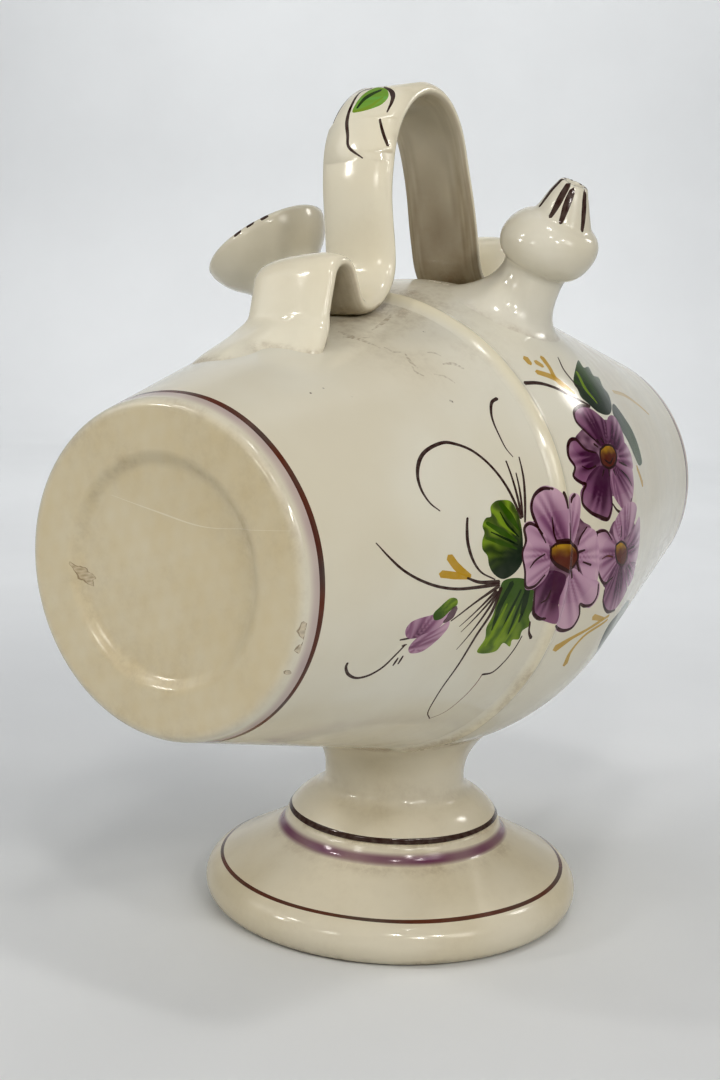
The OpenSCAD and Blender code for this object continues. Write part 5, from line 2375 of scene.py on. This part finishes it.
@dataclass
class Fitting(TurnedPiece):
    """A turned fitting that flares into the barrel, with a passage through it."""

    slot: Slot = Slot.FITTINGS
    chart_r: float = 12.0
    sides: int = 96
    along: float = 5.0
    angle: float = 0.0
    bore_r: float = 8.0
    neck_r: float = 12.0
    neck_h: float = 10.0
    land_r: float = 21.5
    land_sway: float = 1.2
    land_lean: float = 3.0
    pulls: tuple[float, float] = (7.0, 5.0)
    sunk: float = 0.22
    sole_h: float = -2.0
    dirt_reach: float = 1.6
    dirt: float = 0.45
    dirt_film: float = 0.04

    def stood(self, a: Array, b: Array, h: Array) -> Array:
        """Takes the fitting's own coordinates to the jug's.

        Args:
            a: Distances along the barrel from the fitting's axis.
            b: Distances sideways from it, towards the handle on the spout's side.
            h: Heights above the barrel's middle.

        Returns:
            A point in each row.
        """
        a, b, h = self.bent(a, b, h)
        turn = math.radians(self.angle)
        up = self.form.mid_r + h
        y = b * math.cos(turn) - up * math.sin(turn)
        z = b * math.sin(turn) + up * math.cos(turn)
        return np.stack([self.along + a + 0 * y, y, self.form.axis_z + z], axis=-1)

    def bent(self, a: Array, b: Array, h: Array) -> tuple[Array, Array, Array]:
        """Bends the fitting's upper part. A plain fitting stays straight."""
        return a, b, h

    def ground(self, a: Array, b: Array) -> Array:
        """Gives the height of the sunk border on the barrel's surface, in the fitting's coordinates."""
        return np.sqrt(self.form.radius(self.along + a) ** 2 - b**2) - self.form.mid_r - self.sunk

    def land(self, turn: Array) -> Array:
        """Gives the distance at which the flare lands on the barrel, for angles round it."""
        return self.land_r + self.land_sway * np.sin(turn)

    def flared(self, strip: Strip) -> Skin:
        """Makes the flare that runs from the barrel up to the neck.

        Args:
            strip: Its strip of the piece's map.

        Returns:
            The skin.
        """

        def place(u: Array, v: Array) -> Array:
            """Gives points of the flare.

            Args:
                u: Shares of the way.
                v: Distances round the axis.

            Returns:
                A point in each row.
            """
            turn = v / self.chart_r
            cos, sin = np.cos(turn), np.sin(turn)
            far, step = self.land(turn), 0.5
            low, back = (self.ground(r * cos, r * sin) for r in (far, far - step))
            slope = np.arctan2(back - low, step) + math.radians(self.land_lean)
            pull = self.pulls[0]
            r = swept(u, (far, far - pull * np.cos(slope), self.neck_r, self.neck_r))
            h = swept(u, (low, low + pull * np.sin(slope), self.neck_h - self.pulls[1], self.neck_h))
            return self.stood(r * cos, r * sin, h)

        rows = np.linspace(0, 1, 30)
        return Skin(place, rows, self.cols, strip, True, grime=self.grime, probe=(0.01, 0.2))

    def soled(self, strip: Strip) -> Skin:
        """Closes the fitting underneath, just inside the barrel's wall.

        Args:
            strip: Its strip of the piece's map.

        Returns:
            The skin.
        """

        def place(u: Array, v: Array) -> Array:
            """Gives points of the hidden sole.

            Args:
                u: Shares of the way.
                v: Distances round the axis.

            Returns:
                A point in each row.
            """
            turn = v / self.chart_r
            r = between(self.bore_r, self.land(turn), u)
            a, b = r * np.cos(turn), r * np.sin(turn)
            edge = self.ground(a, b) - 0.9 * rise(1.0, 0.85, u)
            return self.stood(a, b, between(edge, self.sole_h, rise(0.35, 0.0, u)))

        return Skin(place, np.linspace(0, 1, 10), self.cols, strip, True, probe=(0.01, 0.2))

    def grime(self, points: Array) -> Array:
        """Gathers dirt where the fitting meets the barrel."""
        return np.clip(rise(self.dirt_reach, 0.0, self.form.lift(points)) * self.dirt + self.dirt_film, 0, 1)


@dataclass
class FillingMouth(Fitting):
    """The bowl-shaped mouth on its neck."""

    angle: float = -36.5
    lip_h: float = 33.0
    bowl_round: float = 20.0
    bowl_offset: float = 4.0
    bowl_lift: float = 3.0
    wall: float = 4.0
    neck_round: float = 14.0
    seen_dashes: Pixels = (237.5, 231, 249.5, 222.5, 263, 216)
    dash_groups: int = 4
    dash_half: float = 0.50
    dash_widths: Widths = (1.1, 1.9, 1.0)

    def skins(self) -> list[Skin]:
        """Lays out the mouth's sole, its flare, its bowl and its inside.

        Returns:
            The skins.
        """
        bowl = np.array([self.bowl_offset, self.lip_h + self.bowl_lift])
        turn_in = np.array([self.neck_r + self.neck_round, self.neck_h])
        way = math.degrees(math.atan2(bowl[1] - turn_in[1], bowl[0] - turn_in[0]))
        inner = self.bowl_round - self.wall
        drop = self.bowl_lift + self.wall / 2
        lip = math.degrees(math.asin(-drop / self.bowl_round))
        lip_in = math.degrees(math.asin(-drop / inner))
        out_x = bowl[0] + self.bowl_round * math.cos(math.radians(lip))
        in_x = bowl[0] + inner * math.cos(math.radians(lip_in))
        outside = Profile.joined(
            bow(turn_in, self.neck_round, 180.0, way, 14)[:-1],
            bow(bowl, self.bowl_round, way + 182.0 - 360.0, lip, 40),
            bow(((out_x + in_x) / 2, bowl[1] - drop), (out_x - in_x) / 2, 0.0, 180.0, 16)[1:])
        floor_h, bore_r = bowl[1] - inner, self.bore_r
        inside = Profile.joined(
            bow(bowl, inner, lip_in, -90.0, 30),
            [(bore_r + 0.9, floor_h), (bore_r + 0.2, floor_h - 0.35), (bore_r, floor_h - 1.1)],
            np.column_stack([np.full(10, bore_r), np.linspace(floor_h - 2.0, self.sole_h, 10)]))
        bowl_skin = self.turned(outside, 0.9, (0.21, 0.62), (), self.grime)
        bowl_skin.marks = self._dashes(bowl_skin, outside.where(lambda p: p[:, 1] >= self.lip_h - 0.9))
        return [
            self.soled((0.94, 1.0)), self.flared((0.0, 0.2)), bowl_skin,
            self.turned(inside, 1.2, (0.64, 0.92), (), self._inner_darkening)]

    def _dashes(self, bowl: Skin, lip_u: float) -> list[Mark]:
        """Paints the dashes on the lip, in groups like the one that shows.

        Args:
            bowl: The bowl's skin.
            lip_u: Distance of the dashes along the profile.

        Returns:
            The marks.
        """
        once = TURN * self.chart_r
        near_lip = np.linspace(lip_u - 1.5, lip_u + 1.5, 16)
        seen = self.camera.found(bowl, near_lip, np.linspace(0, once, 721), self.seen_dashes)
        brown = even_tint(Pigment.BROWN, 1.0)
        marks = []
        for group in range(self.dash_groups):
            for k, spot in enumerate(seen[:, 1]):
                middle = (spot + once * group / self.dash_groups) % once
                half = self.dash_half + 0.08 * math.sin(2.3 * k)
                u = lip_u + 0.25 * math.sin(1.7 * k)
                path = ((u - 0.5, middle - half), (u, middle), (lip_u + 0.5, middle + half))
                marks.append(brushed(smooth_path(path, 0.4), self.dash_widths, brown))
        return marks

    def _inner_darkening(self, points: Array) -> Array:
        """Darkens the bowl towards the filling hole."""
        return np.clip(rise(30.0, 16.0, self.form.lift(points)) * 0.55 + 0.08, 0, 1)


@dataclass
class DrinkingSpout(Fitting):
    """The spout: a flared neck, a bulb and a pierced cone, leaning less than the barrel's side."""

    angle: float = 26.0
    bore_r: float = 6.4
    tilt: float = 24.0
    neck_r: float = 10.6
    neck_h: float = 14.0
    land_r: float = 22.5
    land_sway: float = 3.2
    pulls: tuple[float, float] = (8.0, 7.0)
    dirt_reach: float = 1.3
    dirt: float = 0.30
    dirt_film: float = 0.03
    bulb_r: float = 16.0
    bulb_round: float = 7.5
    bulb_h: float = 25.0
    bulb_tall: float = 9.3
    tip_r: float = 5.2
    tip_h: float = 46.5
    hole_r: float = 2.4
    hollow_r: float = 11.0
    hollow_top: float = 36.0
    sway: float = 1.7
    sway_way: tuple[float, float] = (0.54, -0.84)
    ball_half: float = 62.0
    seen_stripes: tuple[Pixels, ...] = (
        (568, 185, 559, 201, 550, 217), (572, 192, 566, 207, 560.5, 222.5),
        (585, 194, 584, 212, 582, 230.5))
    hidden_stripes: int = 5
    stripe_length: float = 12.5
    stripe_widths: Widths = (4.4, 4.2, 3.6, 2.6, 1.6)

    def bent(self, a: Array, b: Array, h: Array) -> tuple[Array, Array, Array]:
        """Bends the spout from the barrel's side towards the upright.

        Args:
            a: Distances along the barrel from the spout's axis.
            b: Distances sideways from it.
            h: Heights above the barrel's middle.

        Returns:
            The same three after the bend.
        """
        turn = np.radians(self.tilt - self.angle) * rise(1.0, 17.0, h)
        up = h - self.neck_h
        sway = self.sway * hump(h, 33.0, 8.0)
        side = b * np.cos(turn) - up * np.sin(turn) + self.sway_way[1] * sway
        return a + self.sway_way[0] * sway, side, self.neck_h + b * np.sin(turn) + up * np.cos(turn)

    def skins(self) -> list[Skin]:
        """Lays out the spout's sole, its flare, its head and its inside.

        Returns:
            The skins.
        """
        bulb = np.array([self.bulb_r - self.bulb_round, self.bulb_h])
        tip_round = (self.tip_r - self.hole_r) / 2
        tip_low = self.tip_h - tip_round
        ball = bow((0.0, 0.0), 1.0, -self.ball_half, self.ball_half, 34)
        ball = bulb + ball * np.array([self.bulb_round, self.bulb_tall])
        neck = smooth_path(((self.neck_r, self.neck_h), (10.7, 15.2), (11.15, 16.2), ball[0]), 0.5)
        cone = smooth_path(
            (ball[-1], (10.9, 33.8), (10.1, 34.5), (9.5, 35.6), (8.3, 38.4), (6.8, 42.0), (5.6, 44.4)), 0.5)
        outside = Profile.joined(
            neck[:-1], ball[:-1], cone, bow((self.hole_r + tip_round, tip_low), tip_round, 20.0, 180.0, 14))
        hollow = (
            (self.hole_r, 44.0), (self.hole_r, self.hollow_top + 1.0), (4.2, 34.0), (self.hollow_r, 27.5),
            (self.hollow_r, 22.5), (self.bore_r, 17.5), (self.bore_r, 10.0))
        inside = Profile.joined(
            [(self.hole_r, tip_low)], smooth_path(hollow, 1.0),
            np.column_stack([np.full(8, self.bore_r), np.linspace(8.0, self.sole_h, 8)]))
        head = self.turned(outside, 0.8, (0.25, 0.7), (), self.grime)
        head.marks = self._stripes(head, outside.where(lambda p: p[:, 1] >= self.tip_h - 0.5))
        return [
            self.soled((0.94, 1.0)), self.flared((0.0, 0.24)), head,
            self.turned(inside, 1.2, (0.72, 0.92), (), even_film(0.6))]

    def _stripes(self, head: Skin, start: float) -> list[Mark]:
        """Paints the stripes that run down the cone, those that show first.

        Args:
            head: The skin of the spout's head.
            start: Distance of the stripes' tops along the profile.

        Returns:
            The marks.
        """
        once = TURN * self.chart_r
        rows, cols = np.linspace(start - 15.0, start, 60), np.linspace(0, once, 721)
        paths = [self.camera.found(head, rows, cols, pixels) for pixels in self.seen_stripes]
        first, last = sorted((paths[0][0, 1], paths[-1][0, 1]))
        for k in range(self.hidden_stripes):
            middle = (last + (first + once - last) * (k + 1) / (self.hidden_stripes + 1)) % once
            length = self.stripe_length + 1.2 * math.sin(2.7 * k)
            path = ((start, middle), (start - length * 0.5, middle), (start - length, middle + 0.3))
            paths.append(np.array(path))
        brown = even_tint(Pigment.BROWN, 1.0)
        return [brushed(smooth_path(path, MARK_GAP), self.stripe_widths, brown) for path in paths]


class Beam(Enum):
    """How a lamp shines: fading towards its edges, as a small round spark, or as a flood."""

    SOFT = "soft"
    SPARK = "spark"
    FLOOD = "flood"


@dataclass(frozen=True)
class Lamp:
    """A lamp that looks at the jug or at the wall behind it."""

    name: str
    place: Triple
    size: float
    power: float
    colour: Triple = (1.0, 0.98, 0.95)
    beam: Beam = Beam.SOFT
    goal: Triple = (0.0, 0.0, 160.0)
    flood: float = 130.0
    edge: float = 0.5
    core: float = 0.08

    def hang(self) -> None:
        """Makes the lamp."""
        light = bpy.data.lights.new(self.name, "AREA")
        light.shape = "DISK" if self.beam is Beam.SPARK else "SQUARE"
        light.size = self.size * MM
        light.energy = self.power
        light.color = self.colour
        if self.beam is Beam.FLOOD:
            light.spread = math.radians(self.flood)
        elif self.beam is Beam.SOFT:
            self._soften(light)
        lamp = bpy.data.objects.new(self.name, light)
        spot = Vector(self.place) * MM
        aim = Vector(self.goal) * MM - spot
        lamp.matrix_world = Matrix.LocRotScale(spot, aim.to_track_quat("-Z", "Y"), None)
        lamp.visible_camera = False
        bpy.context.scene.collection.objects.link(lamp)

    def _soften(self, light: bpy.types.Light) -> None:
        """Fades a lamp towards its edges, so that the glaze shows no hard-edged box.

        Args:
            light: The lamp's light.
        """
        light.use_nodes = True
        tree = light.node_tree
        face = tree.nodes.new("ShaderNodeNewGeometry")
        away = tree.nodes.new("ShaderNodeVectorMath")
        away.operation = "DISTANCE"
        away.inputs[1].default_value = (0.5, 0.5, 0.0)
        fade = tree.nodes.new("ShaderNodeMapRange")
        fade.interpolation_type = "SMOOTHSTEP"
        fade.inputs["From Min"].default_value = self.edge
        fade.inputs["From Max"].default_value = self.core
        tree.links.new(face.outputs["Parametric"], away.inputs[0])
        tree.links.new(away.outputs["Value"], fade.inputs["Value"])
        tree.links.new(fade.outputs["Result"], tree.nodes["Emission"].inputs["Strength"])


@dataclass(frozen=True)
class Studio:
    """A pale sheet that runs up into a wall behind the jug, with soft boxes, five sparks and a wall lamp."""

    camera: PhotoCamera
    wall_gap: float = 2050.0
    cove_r: float = 300.0
    half_width: float = 3000.0
    wall_top: float = 1800.0
    front: float = 3000.0
    lamps: tuple[Lamp, ...] = (
        Lamp("key_lamp", (-1050.0, 60.0, 480.0), 300.0, 2.8, (1.0, 0.985, 0.955)),
        Lamp("fill_lamp", (-485.0, 758.0, 650.0), 700.0, 2.4, (0.97, 0.985, 1.0)),
        Lamp("side_lamp", (-230.0, -1050.0, 640.0), 600.0, 7.0),
        Lamp("top_lamp", (-240.0, -280.0, 1150.0), 220.0, 4.5, (1.0, 0.99, 0.97)),
        Lamp("rim_lamp", (360.0, -250.0, 430.0), 130.0, 0.8),
        Lamp(
            "wall_lamp", (560.0, 360.0, 1150.0), 1100.0, 6.0, (1.0, 1.0, 1.0), Beam.FLOOD,
            (1150.0, 740.0, 60.0)))
    sparks: tuple[Triple, ...] = (
        (-760.0, -560.0, 960.0), (-420.0, -860.0, 760.0), (-620.0, -760.0, 620.0), (-820.0, 640.0, 520.0),
        (-780.0, 560.0, 800.0))
    spark_size: float = 90.0
    spark_power: float = 1.3
    air: Triple = (0.90, 0.93, 1.0)
    air_strength: float = 0.27
    gamma: float = 0.82
    black: float = 0.012

    def build(self) -> None:
        """Makes the sheet, the lamps and the soft light of the room, and sets how pictures are developed."""
        view = bpy.context.scene.view_settings
        view.view_transform = "Standard"
        view.gamma = self.gamma
        view.use_curve_mapping = True
        view.curve_mapping.black_level = (self.black,) * 3
        view.curve_mapping.update()
        world = bpy.data.worlds.new("room")
        world.use_nodes = True
        back = world.node_tree.nodes["Background"]
        back.inputs["Color"].default_value = (*self.air, 1.0)
        back.inputs["Strength"].default_value = self.air_strength
        bpy.context.scene.world = world
        for lamp in self.lamps:
            lamp.hang()
        for place in self.sparks:
            Lamp("spark_lamp", place, self.spark_size, self.spark_power, beam=Beam.SPARK).hang()
        self._sheet()

    def _sheet(self) -> None:
        """Makes the sheet: a floor, a round bend and a wall square to the camera."""
        back = self.camera.axes()[2]
        away = -np.array([back[0], back[1]]) / math.hypot(back[0], back[1])
        side = np.array([-away[1], away[0]])
        start = np.array(self.camera.place[:2])
        bend = bow((self.wall_gap - self.cove_r, self.cove_r), self.cove_r, -90.0, 0.0, 24)
        line = np.vstack([[(-self.front, 0.0)], bend, [(self.wall_gap, self.wall_top)]])
        verts = []
        for reach, high in line:
            for edge in (-self.half_width, self.half_width):
                spot = start + away * reach + side * edge
                verts.append((spot[0] * MM, spot[1] * MM, high * MM))
        faces = [(2 * k, 2 * k + 1, 2 * k + 3, 2 * k + 2) for k in range(len(line) - 1)]
        mesh = bpy.data.meshes.new("sheet")
        mesh.from_pydata(verts, [], faces)
        mesh.shade_smooth()
        mesh.materials.append(Paper().made())
        sheet = bpy.data.objects.new("sheet", mesh)
        bpy.context.scene.collection.objects.link(sheet)


def main() -> None:
    """Builds the jug's pieces in order, and then its studio."""
    logging.basicConfig(level=logging.INFO, format="%(name)s %(message)s")
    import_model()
    form, camera = BarrelForm(), PhotoCamera()
    camera.make()
    body = Glaze("ivory_body_glaze").made()
    foot_glaze = Glaze("ivory_foot_glaze", (0.73, 0.675, 0.545), (0.67, 0.60, 0.445)).made()
    strap_glaze = Glaze("ivory_strap_glaze", (0.82, 0.775, 0.64), (0.78, 0.715, 0.56)).made()
    fitting_glaze = Glaze("ivory_fitting_glaze", (0.75, 0.72, 0.625)).made()
    spray = FlowerSpray(form, camera).marks()
    mouth, spout = FillingMouth(form, camera), DrinkingSpout(form, camera)
    bores = tuple((fitting.along, fitting.angle, fitting.bore_r) for fitting in (spout, mouth))
    for node, part, finish in (
        ("front_shell", BarrelShell(form, camera, spray=spray), body),
        ("rear_shell", BarrelShell(form, camera, front=False, spray=spray, bores=bores), body),
        ("seam_band", SeamBand(form, camera, spray=spray), body),
        ("foot_plate", FootPlate(form, camera), foot_glaze),
        ("foot_stem", FootStem(form, camera), foot_glaze),
        ("strap_handle", StrapHandle(form, camera), strap_glaze),
        ("filling_mouth", mouth, fitting_glaze),
        ("drinking_spout", spout, fitting_glaze),
    ):
        piece = part.build(f"glazed_{node}", finish)
        part.dress(piece, node)
        LOG.info("%s: %d faces", piece.name, len(piece.data.polygons))
    Studio(camera).build()


if __name__ == "__main__":
    main()
